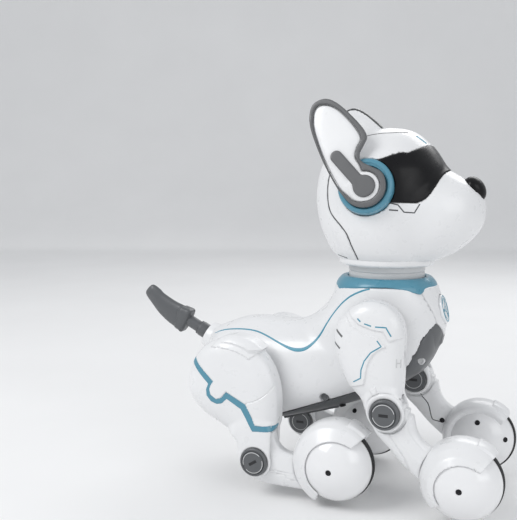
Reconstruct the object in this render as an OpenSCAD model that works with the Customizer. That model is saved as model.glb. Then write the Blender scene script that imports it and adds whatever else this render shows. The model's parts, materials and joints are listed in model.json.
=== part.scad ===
// Robot dog toy that rolls on four ball-shaped feet, in millimetres.
// It faces +X, its left side is +Y, and it stands on Z = 0 with the middle of its outline over the origin.

/* [Feet] */
// Radius of each rubber tyre
tyre_r = 26; // [25.6:0.1:26.4]
// Distance from the centre plane to the middle of each tyre
tyre_out = 49.2; // [48.8:0.1:49.6]
// Outer radius of the fender round each rear foot
fender_r = 31; // [30.5:0.1:31.5]
// Outer radius of the fender round each front foot
front_fender_r = 28.2; // [28:0.1:29]
// Forward position of the rear axles
rear_axle_x = 34.5; // [33.5:0.5:35.5]
// Forward position of the front axles
front_axle_x = 119.2; // [118.2:0.5:120.2]
// Radius of the wheel axles
axle_r = 2; // [1.5:0.1:2.5]

/* [Legs] */
// Shoulder axis, forward and up
shoulder = [60, 118];
// Elbow axis, forward and up
elbow = [69.2, 66.9];
// Hip axis, forward and up
hip = [-43, 80];
// Knee axis, forward and up
knee = [-22.6, 22.7];
// Distance from the centre plane to the inner face of the legs
leg_in = 39; // [38.8:0.1:39.4]
// Distance from the centre plane to the outer face of the upper arms
arm_out = 59.5; // [59:0.1:60]
// Distance from the centre plane to the outer face of the thighs
thigh_out = 61.5; // [61:0.1:62]
// Radius of the motor shafts at the shoulders and hips
drive_r = 4; // [3.5:0.1:4.5]
// Radius of the pins at the elbows and knees
pin_r = 4; // [3.5:0.1:4.2]

/* [Body] */
// Greatest half width of the body
body_half = 36.2; // [35.6:0.1:36.4]
// Thickness of the moulded walls
wall = 2; // [1.6:0.1:2.4]
// Slope of the flat belly, in degrees, rising to the front
belly_tilt = 17.2; // [16:0.2:18]
// Height of the flat belly below the origin point
belly_z = 47.4; // [46.8:0.1:48]

/* [Head] */
// Forward position of the vertical neck axis
neck_x = 55.7; // [55.2:0.1:56.2]
// Half width of the head below the ears
head_half = 45; // [44:0.2:45.4]
// Centre of each ear hub: forward, outwards, up
ear_hub = [51.2, 48, 215];
// Radius of the blue ear disc
ear_disc_r = 18.8; // [18:0.1:19]
// Inward lean of the ears in degrees
ear_lean = 13.5; // [12:0.5:15]
// Backward turn of the ears about their hubs, in degrees
ear_turn = 2.2; // [0:0.1:4]

/* [Tail] */
// Tail pivot: forward, sideways, up
tail_pivot = [-83.9, 0, 97.3];
// Rise of the tail in degrees
tail_rise = 27.9; // [25:0.5:30]

/* [Hidden] */

WHITE = [0.92, 0.93, 0.94];
PALE = [0.8, 0.81, 0.82];
TEAL = [0.33, 0.57, 0.67];
GREY = [0.42, 0.43, 0.44];
DARK = [0.35, 0.36, 0.37];
BLACK = [0.05, 0.05, 0.06];

// Free play in the running fits and between neighbouring mouldings
run_gap = 0.05;
seam_gap = 0.15;
// Points round each moulded section, and steps between two rows of a table
ring_n = 32;
row_steps = 2;
$fn = 64;

// ---------- shared curves and solids ----------

function clamp_row(rows, i) = rows[max(0, min(len(rows) - 1, i))];

// Point between b and c on the smooth curve through a, b, c and d
function between(a, b, c, d, t) =
    b + 0.5 * t * (c - a + t * (2 * a - 5 * b + 4 * c - d + t * (3 * (b - c) + d - a)));

function smooth_open(rows, steps) = concat(
    [for (i = [0:len(rows) - 2], k = [0:steps - 1])
        between(clamp_row(rows, i - 1), rows[i], rows[i + 1], clamp_row(rows, i + 2), k / steps)],
    [rows[len(rows) - 1]]);

function smooth_closed(points, steps) = let (n = len(points))
    [for (i = [0:n - 1], k = [0:steps - 1])
        between(points[(i + n - 1) % n], points[i], points[(i + 1) % n], points[(i + 2) % n],
            k / steps)];

function arc(centre, r, from, to, n) =
    [for (i = [0:n]) let (a = from + (to - from) * i / n) centre + r * [cos(a), sin(a)]];

function signed_pow(v, e) = sign(v) * pow(abs(v), e);

// Larger of two lengths, with the corner between them rounded over k
function soft_max(a, b, k) = let (h = max(k - abs(a - b), 0) / k) max(a, b) + h * h * k / 4;

// Closed solid through rings that turn anticlockwise about the way they advance
module skin(rings) {
    n = len(rings[0]);
    m = len(rings);
    sides = [for (i = [0:m - 2], j = [0:n - 1])
        let (a = i * n + j, b = i * n + (j + 1) % n) each [[a, a + n, b + n], [a, b + n, b]]];
    first = [for (j = [0:n - 1]) j];
    last = [for (j = [n - 1:-1:0]) (m - 1) * n + j];
    polyhedron([for (r = rings) each r], concat(sides, [first, last]));
}

// Cuts on a moulded skin are made on its mesh
module meshed() {
    $fn = 36;
    resize([0, 0, 0]) children();
}

// Side frame: X forwards, Y up, Z outwards from the centre plane
module side(name) {
    if (name == "right") rotate([90, 0, 0]) children();
    if (name == "left") mirror([0, 1, 0]) rotate([90, 0, 0]) children();
}

// Solid with rounded rims: layers are [outward position, inset of the outline]
module pillow(outline, centre, layers) {
    skin([for (layer = layers) [for (p = outline)
        let (q = p + (centre - p) * layer[1] / norm(p - centre)) [q[0], q[1], layer[0]]]]);
}

// Cylinder on a side-frame axis between two outward positions
module axis_rod(at, r, from, to) {
    translate([at[0], at[1], from]) cylinder(r = r, h = to - from);
}

// ---------- body ----------

// Rows of the barrel: forward position, bottom, top, half width
barrel_rows = [
    [-81, 86, 103, 9], [-76, 76, 106, 18], [-66, 62, 110.5, 27], [-52, 49, 115, 33],
    [-36, 42, 116.2, 35.4], [-18, 40, 115.4, body_half], [5, 46, 116.8, body_half],
    [28, 54, 119.6, body_half], [48, 63, 123, 35.8], [66, 74, 124, 34], [82, 86, 120, 28],
    [91, 97, 116.5, 18], [95, 104, 113, 8]];

// Rows of the neck and chest: height, back, front, half width
column_rows = [
    [74, 40, 66, 16], [80, 30, 76, 24], [87, 20, 85, 29.5], [96, 10, 91, 33.4],
    [106, 0, 95.4, 35.6], [115, -3, 98, 36.2], [122, 4, 98.6, 36.2], [130, 12.5, 97.2, 35.8],
    [138, 17.5, 94.6, 35.6], [146.5, 20.5, 91.5, 35.2]];

function barrel_ring(row, inset) =
    let (half = (row[2] - row[1]) / 2 - inset, mid = (row[2] + row[1]) / 2)
    [for (j = [0:ring_n - 1]) let (a = 360 * j / ring_n)
        [row[0], max(row[3] - inset, 1) * signed_pow(cos(a), 0.84),
            mid + max(half, 1) * signed_pow(sin(a), 0.84)]];

function column_ring(row, inset) =
    let (half = (row[2] - row[1]) / 2 - inset, mid = (row[2] + row[1]) / 2)
    [for (j = [0:ring_n - 1]) let (a = 360 * j / ring_n)
        [mid + half * cos(a), (row[3] - inset) * signed_pow(sin(a), 0.92), row[0]]];

// Rows of the barrel with their ends pulled in for the inner face
function pulled_in(rows, inset) = [for (r = rows) r + [inset * (5 - r[0]) / 85, 0, 0, 0]];

// Whole body form, pulled in by inset; the inner form runs out of the open neck
module body_form(inset) {
    open_top = inset > 0 ? [[150, 20.5, 91.5, 35.2]] : [];
    steps = inset > 0 ? 1 : row_steps;
    difference() {
        union() {
            skin([for (r = smooth_open(pulled_in(barrel_rows, inset), steps))
                barrel_ring(r, inset)]);
            skin([for (r = smooth_open(concat(column_rows, open_top), steps))
                column_ring(r, inset)]);
        }
        translate([0, 0, belly_z + inset]) rotate([0, -belly_tilt, 0])
            translate([-120, -60, -60]) cube([260, 120, 60]);
    }
}

// Half widths of the chest panel at the collar and at its lower corners, and their heights
chest_top_half = 22;
chest_low_half = 14.5;
chest_low_z = 121;
chest_tip_z = 110;

module chest_zone(gap) {
    translate([70, 0, 0]) rotate([90, 0, 90]) linear_extrude(40) polygon([
        [-chest_top_half + gap, 142], [-chest_low_half + gap, chest_low_z],
        [0, chest_tip_z + gap], [chest_low_half - gap, chest_low_z],
        [chest_top_half - gap, 142], [chest_top_half - gap, 160], [-chest_top_half + gap, 160]]);
}

// Right half of the front of the fin, as [sideways, up]; it runs from the keel up to the chest panel
fin_edge = [[26, 60], [26, 86], [27, 92], [27.2, 99], [24.7, 110], [19.4, 117], [15.6, 121.6],
    [chest_low_half, chest_low_z]];
// Sideways screw hole through the fin, forward and up
fin_hole = [85.2, 95.6];

// Keel under the belly seam, with the fin in front of it
module belly_zone(gap) {
    translate([0, 60, 0]) rotate([90, 0, 0]) linear_extrude(120) polygon([
        [-26 + gap, 30], [74, 30], [74, 84.4 - gap], [-26 + gap, 44.7 - gap]]);
    translate([58, 0, 0]) rotate([90, 0, 90]) linear_extrude(60) offset(delta = -gap)
        polygon(concat(fin_edge, [[0, chest_tip_z]],
            [for (i = [len(fin_edge) - 1:-1:0]) [-fin_edge[i][0], fin_edge[i][1]]]));
}

module body_wall() {
    difference() {
        body_form(0);
        body_form(wall);
    }
}

// Frame on the flat belly: origin at its middle, +X up the slope, +Z into the body
belly_mid_x = 4;
module on_belly() {
    translate([belly_mid_x, 0, belly_z + belly_mid_x * tan(belly_tilt)])
        rotate([0, -belly_tilt, 0]) children();
}

door = [44, 30, 2];
switch_at = [34, 0];
switch_slot = [5, 10];
screw_spots = [[-27, 12], [-27, -12], [27, 18.5], [27, -18.5]];
screw_head_r = 2.2;

module torso_shell(name) {
    color(WHITE) meshed() difference() {
        intersection() {
            body_wall();
            translate([-150, name == "left" ? 0 : -60, 0]) cube([300, 60, 200]);
        }
        chest_zone(0);
        belly_zone(0);
        tail_socket_form(seam_gap);
        side(name) axis_rod(shoulder, drive_r + 2, 20, 50);
        side(name) axis_rod(hip, drive_r + 2, 20, 50);
    }
}

module chest_panel() {
    color(WHITE) meshed() difference() {
        intersection() {
            body_wall();
            chest_zone(seam_gap);
        }
        badge_disc(badge_r + seam_gap);
    }
}

badge_r = 10.2;
badge_tilt = 14.4;
badge_h = 2.2;
module badge_disc(r) {
    translate([97.2, 0, 129.7]) rotate([0, 90 - badge_tilt, 0])
        translate([0, 0, -badge_h + 0.7]) cylinder(r = r, h = badge_h);
}

module chest_badge() {
    color(TEAL) badge_disc(badge_r);
}

module belly_cover() {
    color(DARK) meshed() difference() {
        intersection() {
            body_wall();
            belly_zone(seam_gap);
        }
        on_belly() translate([-door[0] / 2 - 0.2, -door[1] / 2 - 0.2, -5])
            cube([door[0] + 0.4, door[1] + 0.4, 12]);
        on_belly() translate([switch_at[0] - switch_slot[0] / 2, -switch_slot[1] / 2, -5])
            cube([switch_slot[0], switch_slot[1], 12]);
        for (s = screw_spots)
            on_belly() translate([s[0], s[1], -3]) cylinder(r = screw_head_r + 0.15, h = 10);
        translate([fin_hole[0], 0, fin_hole[1]]) rotate([90, 0, 0])
            cylinder(r = 2.2, h = 80, center = true);
    }
}

module battery_door() {
    color(DARK) on_belly() translate([-door[0] / 2, -door[1] / 2, -0.6]) cube(door);
}

module battery_pack() {
    color(TEAL) on_belly() translate([-18, -12, 2.5]) cube([36, 24, 14]);
}

module circuit_board() {
    color([0.1, 0.4, 0.25]) translate([-20, -20, 86]) {
        cube([52, 40, 1.6]);
        translate([14, 12, 1.6]) cube([14, 14, 1.4]);
        translate([36, 6, 1.6]) cube([8, 8, 4]);
    }
}

// Knob of the slide switch, at the right end of its slot
switch_travel = 3;
module power_switch() {
    color(BLACK) on_belly() translate([switch_at[0] - 2, -4, -0.4]) cube([4, 5, 5.2]);
}

module belly_screws() {
    color(BLACK) for (s = screw_spots)
        on_belly() translate([s[0], s[1], 0.4]) {
            cylinder(r = screw_head_r, h = 1.5);
            cylinder(r = 1.2, h = 7);
        }
}

gearbox = [20, 22, 12];
gearbox_in = 14;
module leg_gearboxes() {
    color(PALE) for (name = ["left", "right"], axis = [shoulder, hip])
        side(name) difference() {
            translate([axis[0] - gearbox[0] / 2, axis[1] - gearbox[1] / 2 - 2, gearbox_in]) cube(gearbox);
            axis_rod(axis, drive_r + run_gap, 10, 35);
        }
}

neck_shaft_r = 11;
module neck_bearing() {
    color(PALE) translate([neck_x, 0, 0]) difference() {
        union() {
            translate([0, 0, 130]) cylinder(r = 15, h = 14);
            translate([0, 0, 141]) cylinder(r = 27, h = 3);
        }
        translate([0, 0, 120]) cylinder(r = neck_shaft_r + run_gap, h = 40);
    }
}

// Flared collar: a bulged ring that leans in towards the head
collar_low_r = 35.8;
collar_top_r = 31.4;
collar_low_z = 146.7;
collar_top_z = 152;
module collar() {
    color(TEAL) translate([neck_x, 0, 0]) rotate_extrude() polygon(concat(
        [[28.4, collar_low_z], [collar_low_r - 0.6, collar_low_z]],
        [for (i = [0:8]) let (t = i / 8)
            [collar_low_r + (collar_top_r - collar_low_r) * t + 0.9 * sin(180 * t),
                collar_low_z + 0.5 + (collar_top_z - collar_low_z - 1) * t]],
        [[30.2, collar_top_z], [28.4, collar_top_z - 1]]));
}

// ---------- tail ----------

// Tail frame: +X along the tail, +Z square to it and up, origin on the pivot
module tail_frame() {
    translate(tail_pivot) rotate([0, tail_rise, 0]) rotate([0, 0, 180]) children();
}

socket_rim = 2.9;
module tail_socket_form(gap = 0) {
    tail_frame() rotate([0, 90, 0]) translate([0, 0, -9])
        cylinder(r1 = 12.5 + gap, r2 = 9.9 + gap, h = 9 + socket_rim);
}

module tail_socket() {
    color(WHITE) difference() {
        tail_socket_form();
        tail_frame() rotate([0, 90, 0]) translate([0, 0, -7]) cylinder(r = 8.7, h = 20);
    }
    color(GREY) tail_frame() translate([0, 0, -8.8]) cylinder(r = 1.5, h = 17.6);
}

module tail_shaft() {
    color(DARK) tail_frame() difference() {
        union() {
            translate([0, 0, -5]) cylinder(r = 4.6, h = 10);
            rotate([0, 90, 0]) cylinder(r = 4.2, h = 30);
            translate([4.6, 0, 0]) rotate([0, 90, 0]) cylinder(r = 6, h = 7.4);
        }
        translate([0, 0, -10]) cylinder(r = 1.5 + run_gap, h = 20);
    }
}

// Blade of the tail as seen from its side, in the tail frame
blade_outline = smooth_closed([[25, -10.2], [34, -11.6], [47, -9.6], [58, -5.4], [67.4, -1.4],
    [66.6, 3.4], [64.6, 9], [52, 7.4], [40, 7.6], [31, 8.6], [25, 7.8]], 3);
blade_half = 4.2;
module tail_blade() {
    color(DARK) meshed() tail_frame() difference() {
        union() {
            rotate([90, 0, 0]) pillow(blade_outline, [46, -1.5], [[-blade_half, 3],
                [-2.6, 0.6], [-1, 0], [1, 0], [2.6, 0.6], [blade_half, 3]]);
            translate([22.6, 0, -1.8]) rotate([0, 90, 0]) cylinder(r = 8.8, h = 8);
        }
        rotate([0, 90, 0]) cylinder(r = 4.35, h = 30.6);
    }
}

// ---------- head ----------

// Rows of the head: height, back, front, half width, front and half width of the muzzle
head_rows = [
    [164.6, 21.6, 90, 34.2, 92.8, 20], [170, 16, 93, 38, 104.2, 26],
    [179, 11.2, 96, 41.6, 114.9, 31], [188.5, 7.4, 98, 43.8, 121.6, 33.6],
    [199, 5, 99.2, head_half, 123.6, 34.4], [209, 4.4, 99.4, head_half, 121.4, 32],
    [217, 5.2, 98.8, 44.6, 114.5, 27], [223, 6.3, 97.8, 43.9, 105, 20],
    [228, 7.8, 96.4, 42.8, 95, 12], [234, 10.8, 93, 40.4, 86, 6], [241, 16.3, 88.2, 36, 82, 3],
    [247.5, 24.8, 82, 29.4, 82, 3], [252, 34, 76, 21.4, 82, 3], [254.8, 43.6, 69, 12.6, 82, 3],
    [255.9, 51.4, 60.6, 4.6, 82, 3]];
// Middle of the muzzle, and the half width under which it has run out into the brow
muzzle_x = 80;
thin_muzzle = 5;

function cranium_r(row, a) =
    let (rx = cos(a) > 0 ? row[2] - neck_x : neck_x - row[1])
    1 / norm([cos(a) / rx, sin(a) / row[3]]);

function muzzle_r(row, a) =
    let (rx = row[4] - muzzle_x, ry = row[5], d = muzzle_x - neck_x,
        p = pow(cos(a) / rx, 2) + pow(sin(a) / ry, 2), q = d * cos(a) / pow(rx, 2),
        s = q * q - p * (d * d / (rx * rx) - 1))
    s < 0 || row[5] < thin_muzzle ? 0 : (q + sqrt(s)) / p;

function head_ring(row, inset, drop) = [for (j = [0:ring_n - 1])
    let (a = 360 * j / ring_n, r = soft_max(cranium_r(row, a), muzzle_r(row, a), 7) - inset)
    [neck_x + max(r, 1) * cos(a), max(r, 1) * sin(a), row[0] - drop]];

// Head form pulled in by inset; a negative inset stands proud of the shells
module head_form(inset) {
    rows = smooth_open(head_rows, inset > 0 ? 1 : row_steps);
    skin([for (r = rows) head_ring(r, inset,
        inset > 0 && r[0] < 166 ? 3 : inset * pow(max(r[0] - 225, 0) / 31, 2))]);
}

// Prism across the head from a side outline of points [forward, up]
module across(points) {
    translate([0, 60, 0]) rotate([90, 0, 0]) linear_extrude(120) polygon(points);
}

visor_outline = [[46, 205.5], [84, 204.8], [90.5, 209.5], [95, 216.4], [99, 226.4], [108, 229],
    [98, 246], [74, 238.6], [70, 239.4], [54, 234.6], [46, 234]];
rear_seam = [[43, 150], [42.6, 166], [39.5, 175], [36.5, 183], [31.5, 189.2], [25, 196],
    [22, 203], [21, 214], [22.3, 224.5], [28, 240], [38, 262]];

module visor_zone() {
    across(visor_outline);
}

module rear_zone(gap) {
    across(concat([for (p = rear_seam) p - [gap, 0]], [[-20, 262], [-20, 150]]));
}

module ear_frame_of(name) {
    translate([ear_hub[0], 0, ear_hub[2]]) {
        if (name == "right") translate([0, -ear_hub[1], 0]) rotate([90 - ear_lean, 0, 0]) children();
        if (name == "left") mirror([0, 1, 0]) translate([0, -ear_hub[1], 0])
            rotate([90 - ear_lean, 0, 0]) children();
    }
}

// Middle of each ear disc from its hub, in the plane of the ear
ear_disc_shift = [-0.5, 1.3];

nose_at = [113.6, 0, 213.4];
module nose_form() {
    translate(nose_at) skin([for (i = [1:9]) let (b = -90 + 18 * i)
        [for (j = [0:23]) let (a = 15 * j)
            [9.8 * cos(a) * cos(b), 11 * sin(a) * cos(b), 8.2 * sin(b)]]]);
}

module ear_disc_holes() {
    for (name = ["left", "right"])
        ear_frame_of(name) translate([ear_disc_shift[0], ear_disc_shift[1], -14])
            cylinder(r = ear_disc_r + seam_gap, h = 30);
}

module head_shell_cuts() {
    visor_zone();
    nose_form();
    ear_disc_holes();
}

module head_wall() {
    difference() {
        head_form(0);
        head_form(wall);
    }
}

module head_front_shell() {
    color(WHITE) meshed() difference() {
        head_wall();
        rear_zone(0);
        head_shell_cuts();
    }
}

module head_rear_shell() {
    color(WHITE) meshed() intersection() {
        head_wall();
        rear_zone(seam_gap);
    }
}

module visor() {
    color(BLACK) meshed() difference() {
        intersection() {
            head_form(-0.5);
            visor_zone();
        }
        head_form(wall);
        ear_disc_holes();
    }
}

module nose() {
    color(BLACK) meshed() difference() {
        nose_form();
        translate([-12, 0, 0]) nose_form();
    }
}

module eye_display() {
    color([0.1, 0.3, 0.5]) translate([78, -22, 211]) cube([2, 44, 24]);
}

base_r = 34;
base_z = 159.8;
module head_base() {
    color(WHITE) translate([neck_x, 0, 0]) rotate_extrude() polygon([
        [20.2, base_z], [base_r - 3.2, base_z], [base_r - 1, base_z + 0.8], [base_r, base_z + 2.8],
        [base_r, 164.3], [31.9, 164.4], [30, 166.4], [20.2, 166.4]]);
}

module neck_stem() {
    color(PALE) translate([neck_x, 0, 0]) {
        translate([0, 0, 127]) cylinder(r = neck_shaft_r, h = 24);
        translate([0, 0, 148]) cylinder(r = 27.2, h = base_z - 148);
        translate([0, 0, base_z]) cylinder(r = 20, h = 10);
    }
}

ear_hub_r = 14;
ear_shaft_r = 3;
module ear_disc(name) {
    ear_frame_of(name) difference() {
        translate(ear_disc_shift) rotate_extrude() polygon(concat(
            [[0, -8], [ear_disc_r, -8]],
            arc([ear_disc_r - 2.4, -2.4], 2.4, 0, 90, 6),
            [[0, 0]]));
        translate([0, 0, -2.4]) cylinder(r = ear_hub_r + 0.6, h = 4);
        translate([0, 0, -9]) cylinder(r = ear_shaft_r + run_gap, h = 10);
    }
}

module ear_discs() {
    color(TEAL) {
        ear_disc("left");
        ear_disc("right");
    }
}

// Ear outlines in the plane of the ear, from the hub's centre
ear_outline = smooth_closed([[14, 3], [11, 9.4], [3.4, 13.6], [-2.4, 17], [-4, 22], [-1.2, 28.6],
    [0.6, 34], [-4, 42], [-17, 56], [-27, 62.4], [-35.4, 61.4], [-39.8, 55.4], [-38.8, 42],
    [-30, 20], [-19.8, 1.6], [-14, -6.2], [-8, -12], [0, -14.2], [8, -11.8], [13.4, -5]], 4);
face_outline = smooth_closed([[-3.4, 14], [-7, 20], [-6.2, 26.4], [-3.6, 33], [-9, 42.6],
    [-20, 54.2], [-29, 58.4], [-35.4, 56.6], [-37, 49], [-34.8, 37], [-26.4, 18], [-17, 2.4]], 4);
lever_outline = [[-23.8, 19.8], [-8.6, 1.6], [-0.5, 7.8], [-17.3, 23.3], [-20.7, 25], [-23.5, 23.5]];

module ear_frame(name) {
    color(GREY) ear_frame_of(name) {
        difference() {
            rotate(ear_turn) translate([0, 0, 0.4]) linear_extrude(3.2) polygon(ear_outline);
            rotate(ear_turn) translate([0, 0, -1]) linear_extrude(6) polygon(face_outline);
        }
        translate([0, 0, -2]) cylinder(r = ear_hub_r, h = 5.8);
        translate([0, 0, -9.5]) cylinder(r = ear_shaft_r, h = 8);
        rotate(ear_turn) translate([0, 0, 2.6]) linear_extrude(1.6) polygon(lever_outline);
    }
}

module ear_face(name) {
    color(WHITE) ear_frame_of(name) difference() {
        rotate(ear_turn) translate([0, 0, 0.8]) linear_extrude(1.7) polygon(face_outline);
        translate([0, 0, -2]) cylinder(r = ear_hub_r + seam_gap, h = 6);
    }
}

// ---------- feet, the same at the front and the rear ----------

// Inner housing of the foot: an egg-shaped cup, open towards the wheel
cup_r = 24.8;
cup_depth = 19;
cup_mid = tyre_out - 2.2;
cup_rim = tyre_out - 2.7;
// Start of each fender above the front of the foot, its end low behind it, and its round opening
rear_sweep = [46, 244];
front_sweep = [44, 225];
rear_opening_r = 20;
front_opening_r = 17.6;
rear_opening_shift = [2.2, -0.4];
front_opening_shift = [1.6, -2];
fender_room = tyre_r + 0.8;
dome_r = tyre_r - 0.8;
dome_mid = tyre_out + 1.8;
dome_depth = 19.7;
floor_gap = 1;

module about_axle(axle_x) {
    translate([axle_x, tyre_r, 0]) children();
}

module foot(axle_x, r, sweep, opening_r, opening_shift) {
    about_axle(axle_x) difference() {
        union() {
            rotate_extrude() polygon(concat(
                [for (i = [0:10]) let (a = 90 - 88 * i / 10)
                    [cup_r * cos(a), cup_mid - cup_depth * sin(a)]],
                [[cup_r, cup_rim], [cup_r - wall, cup_rim]],
                [for (i = [0:10]) let (a = 2 + 88 * i / 10)
                    [(cup_r - wall) * cos(a), cup_mid - (cup_depth - wall) * sin(a)]]));
            translate([0, 0, cup_mid - cup_depth + 0.6]) cylinder(r = 5, h = cup_depth - 3.4);
            // round shell over the tyre, which follows the dome to its opening
            rotate([0, 0, sweep[0]]) rotate_extrude(angle = sweep[1] - sweep[0]) polygon([
                [cup_r - 4, 37.5], [r - 4.5, 35.6], [r - 2.1, 37], [r - 0.7, 41], [r, 46], [r, 50],
                [r - 0.5, 54], [r - 1.8, 57.6], [r - 3.5, 60.4], [20.3, 65.6], [15.5, 68.4],
                [15.5, 67.4], [20, 64.1], [24.2, 59], [25.9, 56], [fender_room, 52],
                [fender_room, 44.8], [cup_r - 0.8, 43.4]]);
            rotate([0, 0, sweep[0] + 6]) rotate_extrude(angle = 24) polygon([
                [r - 1.2, 44], [r + 1.5, 44.6], [r + 1.5, 54], [r - 1.2, 55]]);
        }
        translate([opening_shift[0], opening_shift[1], 55]) cylinder(r = opening_r, h = 20);
        translate([0, 0, cup_mid - cup_depth - 2]) cylinder(r = axle_r + run_gap, h = 30);
        translate([-50, -tyre_r - 20, 0]) cube([100, 20 + floor_gap, 80]);
    }
}

module front_foot() {
    foot(front_axle_x, front_fender_r, front_sweep, front_opening_r, front_opening_shift);
}

module rear_foot() {
    foot(rear_axle_x, fender_r, rear_sweep, rear_opening_r, rear_opening_shift);
}

module foot_dome(axle_x) {
    about_axle(axle_x) rotate_extrude() polygon(concat(
        [[0, 33], [axle_r, 33], [axle_r, dome_mid + dome_depth - 1.8]],
        [for (i = [0:10]) let (a = 84 - 78 * i / 10)
            [(dome_r - wall) * cos(a), dome_mid + (dome_depth - wall) * sin(a)]],
        [[dome_r - 4.6, dome_mid + 1.6], [dome_r - 4.6, cup_rim + 0.8], [dome_r - 3.2, cup_rim + 0.8],
            [dome_r - 3.2, dome_mid + 0.2]],
        [for (i = [0:14]) let (a = 90 * i / 14)
            [dome_r * cos(a), dome_mid + 0.2 + (dome_depth - 0.2) * sin(a)]]));
}

module tyre(axle_x) {
    about_axle(axle_x) rotate_extrude() polygon([
        [dome_r - 3.1, cup_rim + 0.6], [tyre_r - 1, cup_rim + 0.6], [tyre_r - 0.2, tyre_out - 1.2],
        [tyre_r, tyre_out - 0.5], [tyre_r, tyre_out + 0.5], [tyre_r - 0.2, tyre_out + 1.2],
        [tyre_r - 0.6, dome_mid], [dome_r - 3.1, dome_mid]]);
}

// ---------- front legs ----------

elbow_ring_r = 12.6;
arm_outline = concat(
    arc(elbow, elbow_ring_r, -160, 15, 12),
    smooth_open([[78.6, 80], [79.2, 92], [79.4, 106], [79.8, 117], [77.4, 127.6], [72, 134.4],
        [65, 138.6], [56.6, 139.9], [48.4, 137.8], [40.6, 131.6], [34.6, 123.4], [32.4, 113.4],
        [34.2, 102.6], [38.4, 90.6], [44, 81], [50, 75]], 2));

module upper_arm(name) {
    color(WHITE) meshed() side(name) difference() {
        pillow(arm_outline, [58, 105], [[leg_in, 2.5], [leg_in + 1.5, 0.6], [leg_in + 4, 0],
            [arm_out - 6, 0], [arm_out - 2.4, 1.4], [arm_out - 0.6, 4], [arm_out, 7]]);
        axis_rod(elbow, elbow_ring_r + 0.8, 43.8, 55.4);
        for (turn = [-75, -46])
            translate([elbow[0], elbow[1], 43.8]) rotate([0, 0, turn]) cube([40, 40, 11.6]);
        axis_rod(elbow, pin_r + 0.2, 30, 70);
        axis_rod(elbow, 10.2, arm_out - 1, 70);
        axis_rod(elbow, 9.7, 30, leg_in + 0.4);
    }
}

// Motor shaft and the round flange that carries the leg
module drive_hub(axis) {
    axis_rod(axis, drive_r, 16, leg_in);
    axis_rod(axis, 17, leg_in - 1.6, leg_in);
}

// Pin with a slotted cap on its outer end and a plain cap on its inner end
module leg_pin(axis, cap_r, cap_from, cap_to, in_from, in_to) {
    difference() {
        union() {
            axis_rod(axis, pin_r, in_from, cap_to);
            axis_rod(axis, cap_r, cap_from, cap_to);
            axis_rod(axis, cap_r - 0.5, in_from, in_to);
        }
        translate([axis[0] - 3.2, axis[1] - 0.9, cap_to - 0.8]) cube([6.4, 1.8, 2]);
    }
}

module elbow_pin() {
    leg_pin(elbow, 10, arm_out - 0.6, 63.3, 37.4, leg_in);
}

forearm_outline = concat(
    arc(elbow, 12.2, 30, 200, 10),
    smooth_open([[58.4, 58], [63, 50], [70.6, 42.6], [80.6, 32], [92, 22.6]], 2),
    [[106, 16], [106, 40]],
    smooth_open([[99.6, 44.6], [92, 49.6], [88.2, 55.4], [86.4, 62.4], [84.2, 68.4]], 2));

module forearm(name) {
    color(WHITE) side(name) difference() {
        meshed() difference() {
            pillow(forearm_outline, [82, 50], [[42, 3], [44, 0.6], [46.5, 0], [53, 0], [56, 0.8],
                [58, 3.4]]);
            axis_rod(elbow, elbow_ring_r + 1.8, 40, 44.2);
            axis_rod(elbow, elbow_ring_r + 1.8, 55, 60);
            about_axle(front_axle_x) cylinder(r = front_fender_r + seam_gap, h = 80);
        }
        axis_rod(elbow, pin_r + run_gap, 30, 70);
    }
}

// ---------- rear legs ----------

knee_ring_r = 12;
thigh_outline = concat(
    arc(knee, knee_ring_r, -170, 20, 12),
    smooth_open([[-10.8, 36], [-10.2, 48], [-9.2, 60], [-9, 70], [-11.2, 81], [-15.4, 90.4],
        [-23, 99.4], [-34, 106.4], [-46.6, 108.4], [-60, 103.8], [-69, 96.4], [-75, 86],
        [-77.8, 74], [-76.4, 64], [-70, 55.6], [-62.5, 49.8], [-54.3, 45.6], [-46.4, 41.4],
        [-40.4, 38], [-37.2, 34.4], [-36.2, 28]], 2));
shank_top_r = 24.4;
shank_slot_r = 25.2;
shank_out = [44.2, 57.8];

// Teal stripe across the thigh, as a path of points with a width
band_path = [[-67.4, 86.2], [-56, 76.6]];
band_half = 1.9;
band_loop = [-52.4, 69.4];
band_loop_r = 5.9;
band_tail = [[-47.6, 70.4], [-43.6, 68.2], [-31.4, 61.2], [-23.4, 45.8], [-12.6, 46.2]];

// One straight stretch of stripe with square ends
module stripe(a, b, half) {
    d = (b - a) / norm(b - a);
    n = [-d[1], d[0]] * half;
    e = d * half * 0.6;
    polygon([a - n - e, b - n + e, b + n + e, a + n - e]);
}

module band_shape(grow) {
    half = band_half + grow;
    stripe(band_path[0], band_path[1], half);
    for (i = [0:len(band_tail) - 2]) stripe(band_tail[i], band_tail[i + 1], half);
    difference() {
        translate(band_loop) circle(r = band_loop_r + half * 0.7);
        translate(band_loop) circle(r = band_loop_r - half * 0.7);
        polygon([band_loop, band_loop + [-8, 14], band_loop + [14, 14], band_loop + [14, 2]]);
    }
}

module thigh(name) {
    color(WHITE) meshed() side(name) difference() {
        pillow(thigh_outline, [-40, 68], [[leg_in, 3], [leg_in + 1.6, 0.8], [leg_in + 4, 0],
            [thigh_out - 7, 0], [thigh_out - 3.4, 1.2], [thigh_out - 1.2, 3.4], [thigh_out, 7]]);
        axis_rod(knee, shank_slot_r, shank_out[0] - 0.4, shank_out[1] + 0.4);
        axis_rod(knee, pin_r + 0.2, 30, 70);
        axis_rod(knee, 10.2, thigh_out - 0.6, 70);
        axis_rod(knee, 9.7, 30, leg_in + 0.4);
        translate([0, 0, thigh_out - 0.8]) linear_extrude(4) band_shape(0.12);
    }
}

module thigh_band(name) {
    color(TEAL) side(name) translate([0, 0, thigh_out - 0.7]) linear_extrude(1) band_shape(0);
}

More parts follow.
